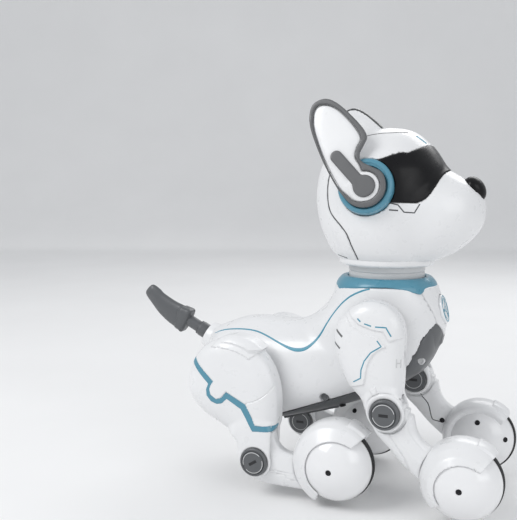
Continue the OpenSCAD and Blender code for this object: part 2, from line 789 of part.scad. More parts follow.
module knee_pin() {
    leg_pin(knee, 10, thigh_out - 0.4, 63.8, 37.5, leg_in);
}

shank_outline = concat(
    arc(knee, shank_top_r, 62, 118, 8),
    smooth_open([[-35, 37], [-35.2, 26], [-33.4, 15.4], [-27, 8], [-16, 5.6], [0, 5], [14, 5]], 2),
    [[14, 30]],
    smooth_open([[4, 29], [-3, 30.4], [-8.2, 34.4], [-10.6, 40]], 2));

module shank(name) {
    color(WHITE) side(name) difference() {
        meshed() difference() {
            pillow(shank_outline, [-14, 20], [[shank_out[0], 2.2], [46, 0.4], [48, 0], [53.6, 0],
                [56, 0.6], [shank_out[1], 2.6]]);
            about_axle(rear_axle_x) cylinder(r = fender_r + seam_gap, h = 80);
        }
        axis_rod(knee, pin_r + run_gap, 30, 70);
    }
}

module wheel_motor(name) {
    color(GREY) side(name) about_axle(rear_axle_x) translate([0, 11.8, 38.6]) cylinder(r = 6.2, h = 7.6);
}

// ---------- assembly ----------

torso_shell("left");  // torso_shell_left
torso_shell("right");  // torso_shell_right
chest_panel();
chest_badge();
belly_cover();
battery_door();
battery_pack();
circuit_board();
leg_gearboxes();
neck_bearing();
collar();
tail_socket();
belly_screws();
power_switch();
head_front_shell();
head_rear_shell();
visor();
nose();
eye_display();
head_base();
neck_stem();
ear_discs();
ear_frame("left");  // ear_frame_left
ear_frame("right");  // ear_frame_right
ear_face("left");  // ear_face_left
ear_face("right");  // ear_face_right
tail_shaft();
tail_blade();
upper_arm("left");  // upper_arm_left
upper_arm("right");  // upper_arm_right
color(GREY) side("left") drive_hub(shoulder);  // shoulder_hub_left
color(GREY) side("right") drive_hub(shoulder);  // shoulder_hub_right
color(DARK) side("left") elbow_pin();  // elbow_pin_left
color(DARK) side("right") elbow_pin();  // elbow_pin_right
forearm("left");  // forearm_left
forearm("right");  // forearm_right
color(WHITE) side("left") front_foot();  // front_foot_left
color(WHITE) side("right") front_foot();  // front_foot_right
color(WHITE) side("left") foot_dome(front_axle_x);  // front_dome_left
color(WHITE) side("right") foot_dome(front_axle_x);  // front_dome_right
color(BLACK) side("left") tyre(front_axle_x);  // front_tyre_left
color(BLACK) side("right") tyre(front_axle_x);  // front_tyre_right
thigh("left");  // thigh_left
thigh("right");  // thigh_right
color(GREY) side("left") drive_hub(hip);  // hip_hub_left
color(GREY) side("right") drive_hub(hip);  // hip_hub_right
thigh_band("left");  // thigh_band_left
thigh_band("right");  // thigh_band_right
color(DARK) side("left") knee_pin();  // knee_pin_left
color(DARK) side("right") knee_pin();  // knee_pin_right
shank("left");  // shank_left
shank("right");  // shank_right
color(WHITE) side("left") rear_foot();  // rear_foot_left
color(WHITE) side("right") rear_foot();  // rear_foot_right
wheel_motor("left");  // wheel_motor_left
wheel_motor("right");  // wheel_motor_right
color(WHITE) side("left") foot_dome(rear_axle_x);  // rear_dome_left
color(WHITE) side("right") foot_dome(rear_axle_x);  // rear_dome_right
color(BLACK) side("left") tyre(rear_axle_x);  // rear_tyre_left
color(BLACK) side("right") tyre(rear_axle_x);  // rear_tyre_right
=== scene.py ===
"""Looks of the robot dog toy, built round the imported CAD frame.

Shapes are written in millimetres as distance functions, as outlines turned about an axle, or as ribbons
laid on a surface. They are scaled to metres when their mesh is made. x is forward, z is up, and o is the
distance outwards from the centre plane in the pieces that exist on both sides.
"""
import json
import math

import bpy
import numpy as np
from mathutils import Matrix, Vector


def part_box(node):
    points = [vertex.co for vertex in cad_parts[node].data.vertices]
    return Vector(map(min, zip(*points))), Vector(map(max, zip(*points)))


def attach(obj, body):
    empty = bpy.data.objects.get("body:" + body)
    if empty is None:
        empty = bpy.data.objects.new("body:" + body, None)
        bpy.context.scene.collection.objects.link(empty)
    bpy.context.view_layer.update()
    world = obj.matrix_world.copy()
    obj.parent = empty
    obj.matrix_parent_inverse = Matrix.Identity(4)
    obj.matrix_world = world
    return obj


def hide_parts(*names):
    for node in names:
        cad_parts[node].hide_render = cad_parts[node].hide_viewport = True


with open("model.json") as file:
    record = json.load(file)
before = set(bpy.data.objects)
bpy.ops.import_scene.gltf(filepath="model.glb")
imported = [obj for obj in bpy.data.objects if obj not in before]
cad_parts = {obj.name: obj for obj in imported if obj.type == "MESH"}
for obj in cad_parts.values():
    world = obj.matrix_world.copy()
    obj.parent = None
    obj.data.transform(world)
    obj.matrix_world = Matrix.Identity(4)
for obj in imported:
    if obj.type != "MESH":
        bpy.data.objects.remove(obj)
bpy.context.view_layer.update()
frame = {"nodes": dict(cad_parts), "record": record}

MM = 0.001
COARSE = 1.0


# ---------- places taken from the frame ----------

def centre_of(node):
    low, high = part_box(node)
    return np.array((low + high) / 2) / MM


def size_of(node):
    low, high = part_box(node)
    return np.array(high - low) / MM


SIDES = {"right": -1, "left": 1}
TYRE_R = size_of("front_tyre_right")[0] / 2
FRONT_AXLE = centre_of("front_tyre_right")[[0, 2]]
REAR_AXLE = centre_of("rear_tyre_right")[[0, 2]]
ELBOW = centre_of("elbow_pin_right")[[0, 2]]
KNEE = centre_of("knee_pin_right")[[0, 2]]
NECK_X = centre_of("head_base")[0]


# ---------- curves and distances ----------

def smooth_open(rows, steps):
    """Catmull-Rom points through an open row of points."""
    rows = np.array(rows, float)
    padded = np.vstack([rows[:1], rows, rows[-1:]])
    out = []
    for a, b, c, d in zip(padded, padded[1:], padded[2:], padded[3:]):
        for t in np.arange(steps) / steps:
            out.append(b + 0.5 * t * (c - a + t * (2 * a - 5 * b + 4 * c - d + t * (3 * (b - c) + d - a))))
    return np.array(out + [rows[-1]])


def smooth_closed(points, steps):
    points = np.array(points, float)
    wrapped = np.vstack([points[-1:], points, points[:2]])
    return smooth_open(wrapped, steps)[steps:-steps - 1]


def arc(centre, r, start, stop, n):
    """Points on an arc, angles in degrees."""
    a = np.radians(np.linspace(start, stop, n + 1))
    return np.stack([centre[0] + r * np.cos(a), centre[1] + r * np.sin(a)], 1)


def soft_max(a, b, k):
    h = np.maximum(k - np.abs(a - b), 0) / k
    return np.maximum(a, b) + h * h * k / 4


def soft_min(a, b, k):
    return -soft_max(-a, -b, k)


def soft_all(k, *fields):
    """Intersection of several fields, with their common edges rounded over k."""
    out = fields[0]
    for f in fields[1:]:
        out = soft_max(out, f, k)
    return out


def ramp(d, width):
    """0 outside an edge, 1 inside it, with a smooth rise over width."""
    t = np.clip(0.5 - d / width, 0, 1)
    return t * t * (3 - 2 * t)


def fade(d, reach):
    """1 at an edge, falling away inside it over the given reach."""
    return np.exp(np.minimum(d, 0) / reach)


def between(v, low, high):
    """Negative where v lies between low and high."""
    return np.maximum(low - v, v - high)


def from_point(x, y, at):
    return np.hypot(x - at[0], y - at[1])


def to_segment(x, y, a, b):
    """Squared distance to the stretch from a to b."""
    ex, ey = b[0] - a[0], b[1] - a[1]
    t = np.clip(((x - a[0]) * ex + (y - a[1]) * ey) / (ex * ex + ey * ey + 1e-12), 0, 1)
    return (x - a[0] - t * ex) ** 2 + (y - a[1] - t * ey) ** 2


def to_path(x, y, points):
    """Distance to an open path."""
    best = to_segment(x, y, points[0], points[1])
    for a, b in zip(points[1:], points[2:]):
        best = np.minimum(best, to_segment(x, y, a, b))
    return np.sqrt(best)


def to_outline(x, y, points):
    """Signed distance to a closed outline, negative inside."""
    best = np.inf
    inside = False
    for a, b in zip(points, np.roll(points, -1, 0)):
        best = np.minimum(best, to_segment(x, y, a, b))
        if a[1] != b[1]:
            crosses = (a[1] <= y) != (b[1] <= y)
            inside = inside ^ (crosses & (x < a[0] + (b[0] - a[0]) * (y - a[1]) / (b[1] - a[1])))
    return np.where(inside, -1, 1) * np.sqrt(best)


# ---------- meshes from distance functions ----------

CORNERS = [(i, j, k) for i in (0, 1) for j in (0, 1) for k in (0, 1)]
EDGES = [(a, b) for a in range(8) for b in range(8)
         if b > a and sum(abs(p - q) for p, q in zip(CORNERS[a], CORNERS[b])) == 1]


def gradient(f, p, h=0.04):
    out = np.empty_like(p)
    for i in range(3):
        step = np.zeros(3)
        step[i] = h
        out[:, i] = (f(*(p + step).T) - f(*(p - step).T)) / (2 * h)
    return out


def surface_of(f, low, high, step):
    """Points, four-sided faces and normals of the surface where f is 0, inside a box."""
    low, high = np.array(low, float) - step, np.array(high, float) + step
    counts = np.ceil((high - low) / step).astype(int) + 1
    axes = [low[i] + step * np.arange(counts[i]) for i in range(3)]
    grid = f(axes[0][:, None, None], axes[1][None, :, None], axes[2][None, None, :])
    grid = np.broadcast_to(grid, counts)
    inside = grid < 0
    corner = [inside[i:counts[0] - 1 + i, j:counts[1] - 1 + j, k:counts[2] - 1 + k] for i, j, k in CORNERS]
    mixed = np.logical_or.reduce(corner) & ~np.logical_and.reduce(corner)
    cells = np.argwhere(mixed)
    number = np.full(mixed.shape, -1)
    number[mixed] = np.arange(len(cells))
    values = np.stack([grid[tuple((cells + c).T)] for c in CORNERS], 1)
    total = np.zeros((len(cells), 3))
    hits = np.zeros((len(cells), 1))
    for a, b in EDGES:
        va, vb = values[:, a], values[:, b]
        cut = (va < 0) != (vb < 0)
        t = np.where(cut, va / np.where(cut, va - vb, 1), 0)[:, None]
        point = np.array(CORNERS[a]) * (1 - t) + np.array(CORNERS[b]) * t
        total += np.where(cut[:, None], point, 0)
        hits += cut[:, None]
    points = low + step * (cells + total / hits)

    faces = []
    for axis in range(3):
        u, v = (axis + 1) % 3, (axis + 2) % 3
        here = [slice(None)] * 3
        there = [slice(None)] * 3
        here[axis], there[axis] = slice(None, -1), slice(1, None)
        first, second = inside[tuple(here)], inside[tuple(there)]
        for flip in (False, True):
            found = np.argwhere(first & ~second if not flip else ~first & second)
            found = found[(found[:, u] > 0) & (found[:, v] > 0)]
            du, dv = np.zeros(3, int), np.zeros(3, int)
            du[u], dv[v] = 1, 1
            ring = [found - du - dv, found - dv, found, found - du]
            if flip:
                ring.reverse()
            faces.append(np.stack([number[tuple(r.T)] for r in ring], 1))
    faces = np.vstack(faces)
    points = settle(f, points, faces, step)
    normals = gradient(f, points)
    normals /= np.linalg.norm(normals, axis=1, keepdims=True) + 1e-12
    return points, faces, normals


def onto(f, points, limit, rounds=3):
    """Moves points along the slope of f until they lie on its surface."""
    start = points
    for _ in range(rounds):
        g = gradient(f, points)
        d = f(*points.T)
        points = points - g * (d / (np.sum(g * g, 1) + 1e-9))[:, None]
        moved = points - start
        far = np.linalg.norm(moved, axis=1, keepdims=True)
        points = start + moved * np.minimum(1, limit / (far + 1e-12))
    return points


def settle(f, points, faces, step):
    """Evens the mesh out along the surface, then puts every point exactly on it."""
    points = onto(f, points, step)
    for _ in range(2):
        total = np.zeros_like(points)
        hits = np.zeros((len(points), 1))
        middle = points[faces].mean(1)
        for k in range(4):
            np.add.at(total, faces[:, k], middle)
            np.add.at(hits, faces[:, k], 1)
        mean = total / np.maximum(hits, 1)
        points = onto(f, points + 0.6 * (mean - points), step)
    return points


# ---------- objects ----------

def mesh_object(name, points, faces, material, normals=None):
    mesh = bpy.data.meshes.new(name)
    mesh.from_pydata([tuple(p) for p in np.asarray(points) * MM], [], [tuple(f) for f in faces])
    mesh.materials.append(material)
    mesh.polygons.foreach_set("use_smooth", [True] * len(mesh.polygons))
    mesh.validate()
    mesh.update()
    if normals is not None and len(mesh.vertices) == len(points):
        mesh.normals_split_custom_set_from_vertices([tuple(n) for n in normals])
    obj = bpy.data.objects.new(name, mesh)
    bpy.context.scene.collection.objects.link(obj)
    return obj


def placed(points, normals, faces, matrix):
    """A copy of a shape moved by a 4 x 4 matrix, with its faces turned over if the matrix mirrors it."""
    m = np.array(matrix)
    points = points @ m[:3, :3].T + m[:3, 3]
    normals = normals @ m[:3, :3].T
    if np.linalg.det(m[:3, :3]) < 0:
        faces = [tuple(reversed(f)) for f in faces]
    return points, normals, faces


def side_matrix(side):
    """From the side frame (x, z, o) to the dog's own frame."""
    return np.array([[1, 0, 0, 0], [0, 0, SIDES[side], 0], [0, 1, 0, 0], [0, 0, 0, 1.0]])


def lathe(profile, closed=True, n=96):
    """An outline of (r, height) turned about the third axis; an open one starts and ends on the axis."""
    profile = np.asarray(profile, float)
    n = int(n / COARSE)
    rows = profile if closed else profile[1:-1]
    angle = 2 * np.pi * np.arange(n) / n
    points = [(r * c, r * s, h) for r, h in rows for c, s in zip(np.cos(angle), np.sin(angle))]
    faces = []
    for i in range(len(rows) if closed else len(rows) - 1):
        j = (i + 1) % len(rows)
        faces += [(i * n + k, i * n + (k + 1) % n, j * n + (k + 1) % n, j * n + k) for k in range(n)]
    if not closed:
        points += [(0, 0, profile[0][1]), (0, 0, profile[-1][1])]
        last = (len(rows) - 1) * n
        faces += [(len(points) - 2, (k + 1) % n, k) for k in range(n)]
        faces += [(len(points) - 1, last + k, last + (k + 1) % n) for k in range(n)]
    return shaped(np.array(points), faces)


def shaped(points, faces):
    """Turns the faces of a closed mesh outwards and gives each point a normal ruled by its larger faces."""
    total = 0
    normals = np.zeros_like(points)
    for f in faces:
        corners = points[list(f)]
        area = sum(np.cross(corners[i] - corners[0], corners[i + 1] - corners[0])
                   for i in range(1, len(f) - 1))
        total += np.dot(corners[0], area)
        normals[list(f)] += area
    if total < 0:
        faces = [tuple(reversed(f)) for f in faces]
        normals = -normals
    return points, faces, normals / (np.linalg.norm(normals, axis=1, keepdims=True) + 1e-12)


def fillet(points, r, steps=3, closed=True):
    """The same outline with its corners rounded."""
    points = np.asarray(points, float)
    out = []
    for i, here in enumerate(points):
        if not closed and i in (0, len(points) - 1):
            out.append(here)
            continue
        a, b = points[i - 1] - here, points[(i + 1) % len(points)] - here
        a = here + a * min(r / np.linalg.norm(a), 0.5)
        b = here + b * min(r / np.linalg.norm(b), 0.5)
        out += [(1 - t) ** 2 * a + 2 * t * (1 - t) * here + t * t * b for t in np.linspace(0, 1, steps + 1)]
    return np.array(out)


def add(name, shape, matrix, material, body, slot=None, *nodes):
    """Makes one piece from a shape, hangs it on its body and hides the CAD nodes that it stands for; the
    finish slot is not used.
    """
    points, faces, normals = shape
    if matrix is not None:
        points, normals, faces = placed(points, normals, faces, matrix)
    slot = slot or SLOT_OF[material]
    obj = mesh_object(name, points, faces, material, normals)
    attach(obj, body)
    if nodes:
        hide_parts(*nodes)


def drop(f, points, axis, near, far, rounds=26):
    """Moves points along one axis, between near (inside) and far (outside), on to the surface of f."""
    points = np.array(points, float)
    inner = np.full(len(points), float(near))
    outer = np.full(len(points), float(far))
    for _ in range(rounds):
        middle = (inner + outer) / 2
        points[:, axis] = middle
        inside = f(*points.T) < 0
        inner = np.where(inside, middle, inner)
        outer = np.where(inside, outer, middle)
    return points


def ribbon(f, path, width, proud):
    """A thin strip laid on the surface of f along a path; width is one number or one for each point."""
    sunk = 0.25
    path = np.asarray(path, float)
    width = np.broadcast_to(width, len(path))
    along = np.gradient(path, axis=0)
    along /= np.linalg.norm(along, axis=1, keepdims=True) + 1e-12
    up = gradient(f, path)
    up /= np.linalg.norm(up, axis=1, keepdims=True) + 1e-12
    side = np.cross(along, up)
    rings = []
    for s, h in ((-1, -sunk), (-1, 0), (-0.8, proud), (0, proud), (0.8, proud), (1, 0), (1, -sunk)):
        flat = onto(f, path + side * (width * s / 2)[:, None], 2, 2)
        rings.append(flat + up * h)
    rings = np.stack(rings, 1)
    n, m = rings.shape[:2]
    faces = [(i * m + j, (i + 1) * m + j, (i + 1) * m + (j + 1) % m, i * m + (j + 1) % m)
             for i in range(n - 1) for j in range(m)]
    faces += [tuple(range(m)), tuple((n - 1) * m + j for j in reversed(range(m)))]
    return shaped(rings.reshape(-1, 3), faces)


# ---------- materials ----------

class Graph:
    """A small helper for building a node material."""

    def __init__(self, name):
        self.material = bpy.data.materials.new(name)
        self.material.use_nodes = True
        self.tree = self.material.node_tree
        self.shader = self.tree.nodes["Principled BSDF"]
        self.place = self.tree.nodes.new("ShaderNodeTexCoord").outputs["Object"]

    def node(self, kind, **values):
        node = self.tree.nodes.new("ShaderNode" + kind)
        for key, value in values.items():
            if hasattr(node, key):
                setattr(node, key, value)
            else:
                node.inputs[key].default_value = value
        return node

    def link(self, a, b):
        self.tree.links.new(a, b)

    def noise(self, scale, detail=3.0):
        node = self.node("TexNoise", Scale=scale, Detail=detail)
        self.link(self.place, node.inputs["Vector"])
        return node.outputs["Fac"]

    def scaled(self, value, low, high, start=0.3, stop=0.7):
        """A value from start to stop carried onto low to high."""
        node = self.node("MapRange")
        for key, number in zip(("From Min", "From Max", "To Min", "To Max"), (start, stop, low, high)):
            node.inputs[key].default_value = number
        self.link(value, node.inputs["Value"])
        return node.outputs["Result"]

    def mixed(self, fac, a, b):
        """Colour between a and b."""
        node = self.node("Mix", data_type="RGBA")
        self.link(fac, node.inputs["Factor"])
        for value, socket in ((a, node.inputs[6]), (b, node.inputs[7])):
            socket.default_value = (*value, 1)
        return node.outputs[2]


def shade_of(colour, k):
    return tuple(min(1.0, c * k) for c in colour)


def plastic(name, colour, rough, coat=0.0, grain=0.02, shine=0.5):
    """Moulded plastic: faint flow marks in the colour, uneven gloss and a fine grain."""
    g = Graph(name)
    flow = g.scaled(g.noise(22.0, 1.0), 0.0, 1.0)
    g.link(g.mixed(flow, shade_of(colour, 0.98), shade_of(colour, 1.01)), g.shader.inputs["Base Color"])
    g.link(g.scaled(g.noise(160.0), rough * 0.85, rough * 1.2), g.shader.inputs["Roughness"])
    bump = g.node("Bump", Strength=grain, Distance=0.00015)
    g.link(g.noise(900.0, 2.0), bump.inputs["Height"])
    g.link(bump.outputs["Normal"], g.shader.inputs["Normal"])
    g.shader.inputs["IOR"].default_value = 1.48
    g.shader.inputs["Specular IOR Level"].default_value = shine
    g.shader.inputs["Coat Weight"].default_value = coat
    g.shader.inputs["Coat Roughness"].default_value = 0.06
    return g.material


def rubber(name, colour):
    """Soft matt rubber with a fine pebbled skin and worn, paler patches."""
    g = Graph(name)
    worn = g.scaled(g.noise(240.0, 5.0), 0.0, 1.0, 0.45, 0.8)
    g.link(g.mixed(worn, colour, shade_of(colour, 2.2)), g.shader.inputs["Base Color"])
    g.link(g.scaled(g.noise(500.0), 0.5, 0.72), g.shader.inputs["Roughness"])
    bump = g.node("Bump", Strength=0.25, Distance=0.0003)
    g.link(g.noise(1500.0, 2.0), bump.inputs["Height"])
    g.link(bump.outputs["Normal"], g.shader.inputs["Normal"])
    return g.material


def metal(name, colour, rough):
    """Metal with a finely mottled shade and uneven gloss."""
    g = Graph(name)
    mottle = g.scaled(g.noise(700.0, 6.0), 0.0, 1.0)
    g.link(g.mixed(mottle, shade_of(colour, 0.85), shade_of(colour, 1.15)), g.shader.inputs["Base Color"])
    g.link(g.scaled(g.noise(420.0), rough * 0.8, rough * 1.3), g.shader.inputs["Roughness"])
    g.shader.inputs["Metallic"].default_value = 0.9
    return g.material


WHITE = plastic("white_plastic", (0.8, 0.804, 0.812), 0.3, coat=0.2)
GLOSS_WHITE = plastic("gloss_white", (0.83, 0.832, 0.84), 0.2, coat=0.5, grain=0.008)
TEAL = plastic("teal_plastic", (0.085, 0.27, 0.37), 0.3, coat=0.25, grain=0.015)
TEAL_PRINT = plastic("teal_print", (0.07, 0.29, 0.4), 0.35, grain=0.01)
BADGE = plastic("badge_plastic", (0.87, 0.89, 0.9), 0.14, coat=0.6, grain=0.0)
DARK = plastic("dark_grey_plastic", (0.103, 0.108, 0.114), 0.36, coat=0.1, grain=0.05)
GREY = plastic("grey_plastic", (0.12, 0.122, 0.126), 0.34, coat=0.12, grain=0.03)
PALE = plastic("pale_plastic", (0.62, 0.625, 0.63), 0.32, coat=0.15)
BLACK_GLOSS = plastic("gloss_black", (0.006, 0.006, 0.007), 0.3, grain=0.0, shine=0.22)
BLACK = plastic("black_plastic", (0.018, 0.018, 0.02), 0.4)
# painted shadow: a dark colour for strips laid along seams and grooves, in place of the shade inside them
PAINTED_SEAM_SHADOW = plastic("seam_shadow", (0.075, 0.078, 0.085), 0.6)
TYRE = rubber("tyre", (0.014, 0.014, 0.015))
SCREW = metal("screw_steel", (0.03, 0.03, 0.032), 0.35)
MOTOR = metal("motor_can", (0.5, 0.5, 0.5), 0.3)
WRAP = plastic("battery_wrap", (0.02, 0.16, 0.24), 0.3, coat=0.4)
BOARD = plastic("circuit_green", (0.015, 0.12, 0.05), 0.35, coat=0.3)
DISPLAY = plastic("display_panel", (0.01, 0.03, 0.07), 0.2, coat=0.5)

FINISH = {
    "white_plastic": WHITE, "gloss_white": GLOSS_WHITE, "teal_plastic": TEAL, "badge_plastic": BADGE,
    "dark_grey_plastic": DARK, "grey_plastic": GREY, "pale_plastic": PALE, "gloss_black": BLACK_GLOSS,
    "black_plastic": BLACK, "tyre": TYRE, "screw_steel": SCREW, "motor_can": MOTOR, "battery_wrap": WRAP,
    "circuit_green": BOARD, "display_panel": DISPLAY}
SLOT_OF = {material: slot for slot, material in FINISH.items()}


def dress_frame():
    """Gives every CAD node the material of its slot in the record."""
    slots = {row["node"]: row["material_slot"] for row in frame["record"]["subparts"]}
    for name, obj in frame["nodes"].items():
        obj.data.materials.clear()
        obj.data.materials.append(FINISH[slots[name]])


# ---------- camera, floor and light ----------

CAMERA_TURN = math.radians(22.205)


def set_camera():
    camera = bpy.data.cameras.new("camera")
    camera.sensor_width = 36.0
    camera.lens = 53.67
    obj = bpy.data.objects.new("camera", camera)
    obj.location = (0.17987, -0.54863, 0.21830)
    obj.rotation_euler = (math.radians(84.26), 0, CAMERA_TURN)
    bpy.context.scene.collection.objects.link(obj)
    bpy.context.scene.camera = obj


def soft_box(name, at, aim, size, power):
    light = bpy.data.lights.new(name, "AREA")
    light.shape = "RECTANGLE"
    light.size, light.size_y = size
    light.energy = power
    obj = bpy.data.objects.new(name, light)
    obj.location = at
    direction = Matrix.Translation(aim).translation - obj.location
    obj.rotation_euler = direction.to_track_quat("-Z", "Y").to_euler()
    bpy.context.scene.collection.objects.link(obj)


def set_stage():
    """A pale floor that curves up far behind, plain soft boxes and an even white sky."""
    g = Graph("floor_paper")
    g.link(g.mixed(g.scaled(g.noise(6.0), 0.0, 1.0), (0.86, 0.86, 0.86), (0.88, 0.88, 0.88)),
           g.shader.inputs["Base Color"])
    g.shader.inputs["Roughness"].default_value = 0.9
    rows = smooth_open([(-3000, 0), (1200, 0), (1900, 60), (2300, 400), (2450, 1200), (2500, 3000)], 8)
    # the sweep rises away from the camera, which looks to the dog's left and a little backwards
    width = 4000
    c, s = math.cos(CAMERA_TURN), math.sin(CAMERA_TURN)
    points = [(across * c - y * s, across * s + y * c, z) for across in (-width, width) for y, z in rows]
    n = len(rows)
    faces = [(i, i + n, i + n + 1, i + 1) for i in range(n - 1)]
    floor = mesh_object("floor", points, faces, g.material)

    world = bpy.data.worlds.new("sky")
    world.use_nodes = True
    world.node_tree.nodes["Background"].inputs[0].default_value = (0.95, 0.97, 1.0, 1)
    world.node_tree.nodes["Background"].inputs[1].default_value = 0.62
    bpy.context.scene.world = world
    middle = (0.0, 0.0, 0.13)
    soft_box("key", (-0.75, -0.9, 1.1), middle, (0.7, 0.7), 9.6)
    soft_box("fill", (1.1, -0.7, 0.6), middle, (0.8, 0.8), 3.2)
    soft_box("back", (0.2, 1.1, 1.0), middle, (1.0, 0.6), 5)
    bpy.context.scene.view_settings.view_transform = "Standard"


# ---------- body ----------

def track(rows, squared=()):
    """A smooth table: value(t, column). Squared columns blend as squares, so they run out to 0 roundly."""
    rows = np.array(rows, float)
    rows[:, list(squared)] **= 2
    fine = smooth_open(rows, 10)

    def value(t, column):
        v = np.interp(t, fine[:, 0], fine[:, column])
        return np.sqrt(np.maximum(v, 0.2)) if column in squared else v
    return value


# forward place, middle height, half height, half width
BARREL = track([
    (-83, 94.5, 0, 0), (-81, 94.5, 8.5, 9), (-76, 91, 15, 18), (-66, 86.2, 24.2, 27), (-52, 82, 33, 33),
    (-36, 79.1, 37.1, 35.4), (-18, 77.7, 37.7, 36.2), (5, 81.4, 35.4, 36.2), (28, 86.8, 32.8, 35.6),
    (48, 93, 30, 34.6), (66, 99, 25, 33), (82, 103, 17, 26.4), (89.4, 106.7, 9.7, 17), (93, 108.5, 0, 0)],
    (2, 3))
# height, middle forward place, half length, half width
COLUMN = track([
    (72, 53, 0, 0), (74, 53, 13, 15.6), (80, 53, 23, 23.6), (87, 52.5, 32.5, 28.8),
    (96, 50.5, 40.5, 32.4), (106, 47.7, 47.7, 34.6), (115, 47.5, 50.5, 35.2), (122, 51.3, 47.3, 35.4),
    (130, 54.85, 42.35, 35.6), (138, 56, 38.5, 35.6), (146.5, 56, 35.5, 35.2)], (2, 3))
BARREL_BACK, BARREL_FRONT, COLUMN_LOW = -83, 93, 72
BODY_TOP = 146.5
BODY_ROOM = 38
BELLY_Z = 47.4
BELLY_SLOPE = math.radians(17.2)
SECTION = 2.38
CHEST_FRONT = 70
# corners of one half of the chest panel, seen from the front as (y, z)
CHEST_TOP, CHEST_LOW, CHEST_TIP = (22, 142), (14.5, 121), (0, 110)
# front of the belly cover, seen from the front as (y, z), and where it ends towards the back
FIN = np.array([(-10, 60), (26, 60), (26, 86), (27, 92), (27.2, 99), (24.7, 110), (19.4, 117),
                (15.6, 121.6), CHEST_LOW, CHEST_TIP, (-10, 102.4)])
FIN_BACK = 58
FIN_HOLE, FIN_HOLE_R = (85.2, 95.6), 2.2
BADGE_AT, BADGE_R = (97.2, 0, 129.7), 10.2
SEAM_REAR, SEAM_FRONT = (-26, 44.7), (74, 84.4)
GAP = 0.15


def body(x, y, z):
    """Outer form of the torso: a barrel and a neck column, blended, with a flat belly."""
    mid, tall, wide = BARREL(x, 1), BARREL(x, 2), BARREL(x, 3)
    q = (np.abs(y / wide) ** SECTION + np.abs((z - mid) / tall) ** SECTION) ** (1 / SECTION)
    barrel = np.maximum((q - 1) * np.minimum(wide, tall), between(x, BARREL_BACK, BARREL_FRONT))
    mid, long, wide = COLUMN(z, 1), COLUMN(z, 2), COLUMN(z, 3)
    q = np.sqrt(((x - mid) / long) ** 2 + np.abs(y / wide) ** 2.17)
    column = np.maximum((q - 1) * np.minimum(wide, long), COLUMN_LOW - z)
    form = soft_min(barrel, column, 7)
    under = (BELLY_Z - z) * math.cos(BELLY_SLOPE) + x * math.sin(BELLY_SLOPE)
    return soft_max(soft_max(form, under, 5), z - BODY_TOP, 2)


def chest_zone(x, y, z):
    wall = np.array(CHEST_TOP) - CHEST_LOW
    low = np.array(CHEST_LOW) - CHEST_TIP
    side = ((np.abs(y) - CHEST_LOW[0]) * wall[1] - (z - CHEST_LOW[1]) * wall[0]) / np.hypot(*wall)
    under = ((CHEST_TIP[1] - z) * low[0] + np.abs(y) * low[1]) / np.hypot(*low)
    return np.maximum(np.maximum(side, under), CHEST_FRONT - x)


def belly_zone(x, y, z):
    run = np.array(SEAM_FRONT) - SEAM_REAR
    above = ((z - SEAM_REAR[1]) * run[0] - (x - SEAM_REAR[0]) * run[1]) / np.hypot(*run)
    keel = np.maximum(above, between(x, SEAM_REAR[0], SEAM_FRONT[0]))
    return np.minimum(keel, np.maximum(to_outline(np.abs(y), z, FIN), FIN_BACK - x))


NOTCH_AT, NOTCH_R = (19.4, 65.6), 3.3


def notch(x, y, z):
    """Half-round recess for the screw at the belly seam."""
    return np.maximum(from_point(x, z, NOTCH_AT) - NOTCH_R, 29 - np.abs(y))


TAIL_AT, TAIL_TILT = (-83.9, 0, 97.3), math.radians(27.9)
SOCKET_FRAME = Matrix.Translation(TAIL_AT) @ Matrix.Rotation(TAIL_TILT, 4, "Y") \
    @ Matrix.Rotation(math.pi, 4, "Z")


def in_tail(x, y, z):
    """Coordinates of the tail frame: along the tail, sideways, and square to it and up."""
    c, s = math.cos(TAIL_TILT), math.sin(TAIL_TILT)
    u, v = x - TAIL_AT[0], z - TAIL_AT[2]
    return -(u * c - v * s), -y, u * s + v * c


def make_torso():
    for side, sign in SIDES.items():
        def half(x, y, z):
            return soft_all(0.8, body(x, y, z), GAP - belly_zone(x, y, z), GAP - chest_zone(x, y, z),
                            0.06 - y * sign, -notch(x, y, z), GAP - socket_form(x, y, z))
        low, high = (-84, min(0, sign * BODY_ROOM), 40), (98, max(0, sign * BODY_ROOM), BODY_TOP)
        add(f"torso_half_{side}", surface_of(half, low, high, 1.25 * COARSE), None, WHITE, "torso", None,
            f"torso_shell_{side}")

    def chest(x, y, z):
        badge = np.hypot(y, (z - BADGE_AT[2]) / 0.97) - BADGE_R - GAP
        return soft_all(0.8, body(x, y, z) - 0.15, chest_zone(x, y, z) + GAP, -body(x, y, z) - 5, -badge)
    low, high = (CHEST_FRONT, -23, 108), (99, 23, BODY_TOP)
    add("chest_plate", surface_of(chest, low, high, 0.9 * COARSE), None, WHITE, "torso", None,
        "chest_panel")

    def belly(x, y, z):
        hole = FIN_HOLE_R - from_point(x, z, FIN_HOLE)
        form = body(x, y, z) - 0.12
        return soft_all(0.8, form, belly_zone(x, y, z) + 0.05, -form - 8, hole)
    low, high = (SEAM_REAR[0], -BODY_ROOM, 36), (100, BODY_ROOM, 122)
    add("belly_keel", surface_of(belly, low, high, 0.8 * COARSE), None, DARK, "torso", None,
        "belly_cover")
    head_of_screw = screw(2.7, 3)
    fin_face = drop(body, np.array([(FIN_HOLE[0], 0, FIN_HOLE[1])], float), 1, 0, 60)[0, 1]
    screws = (("notch", NOTCH_AT, 30.4, DARK), ("fin", FIN_HOLE, fin_face - 1.2, PALE))
    for side in SIDES:
        for name, at, depth, material in screws:
            spot = np.array(Matrix.Translation((*at, depth)))
            add(f"{name}_screw_{side}", head_of_screw, side_matrix(side) @ spot, material, "torso")


SOCKET_FOOT, SOCKET_RIM = -9, 2.9
SOCKET_FOOT_R, SOCKET_RIM_R = 12.5, 9.9


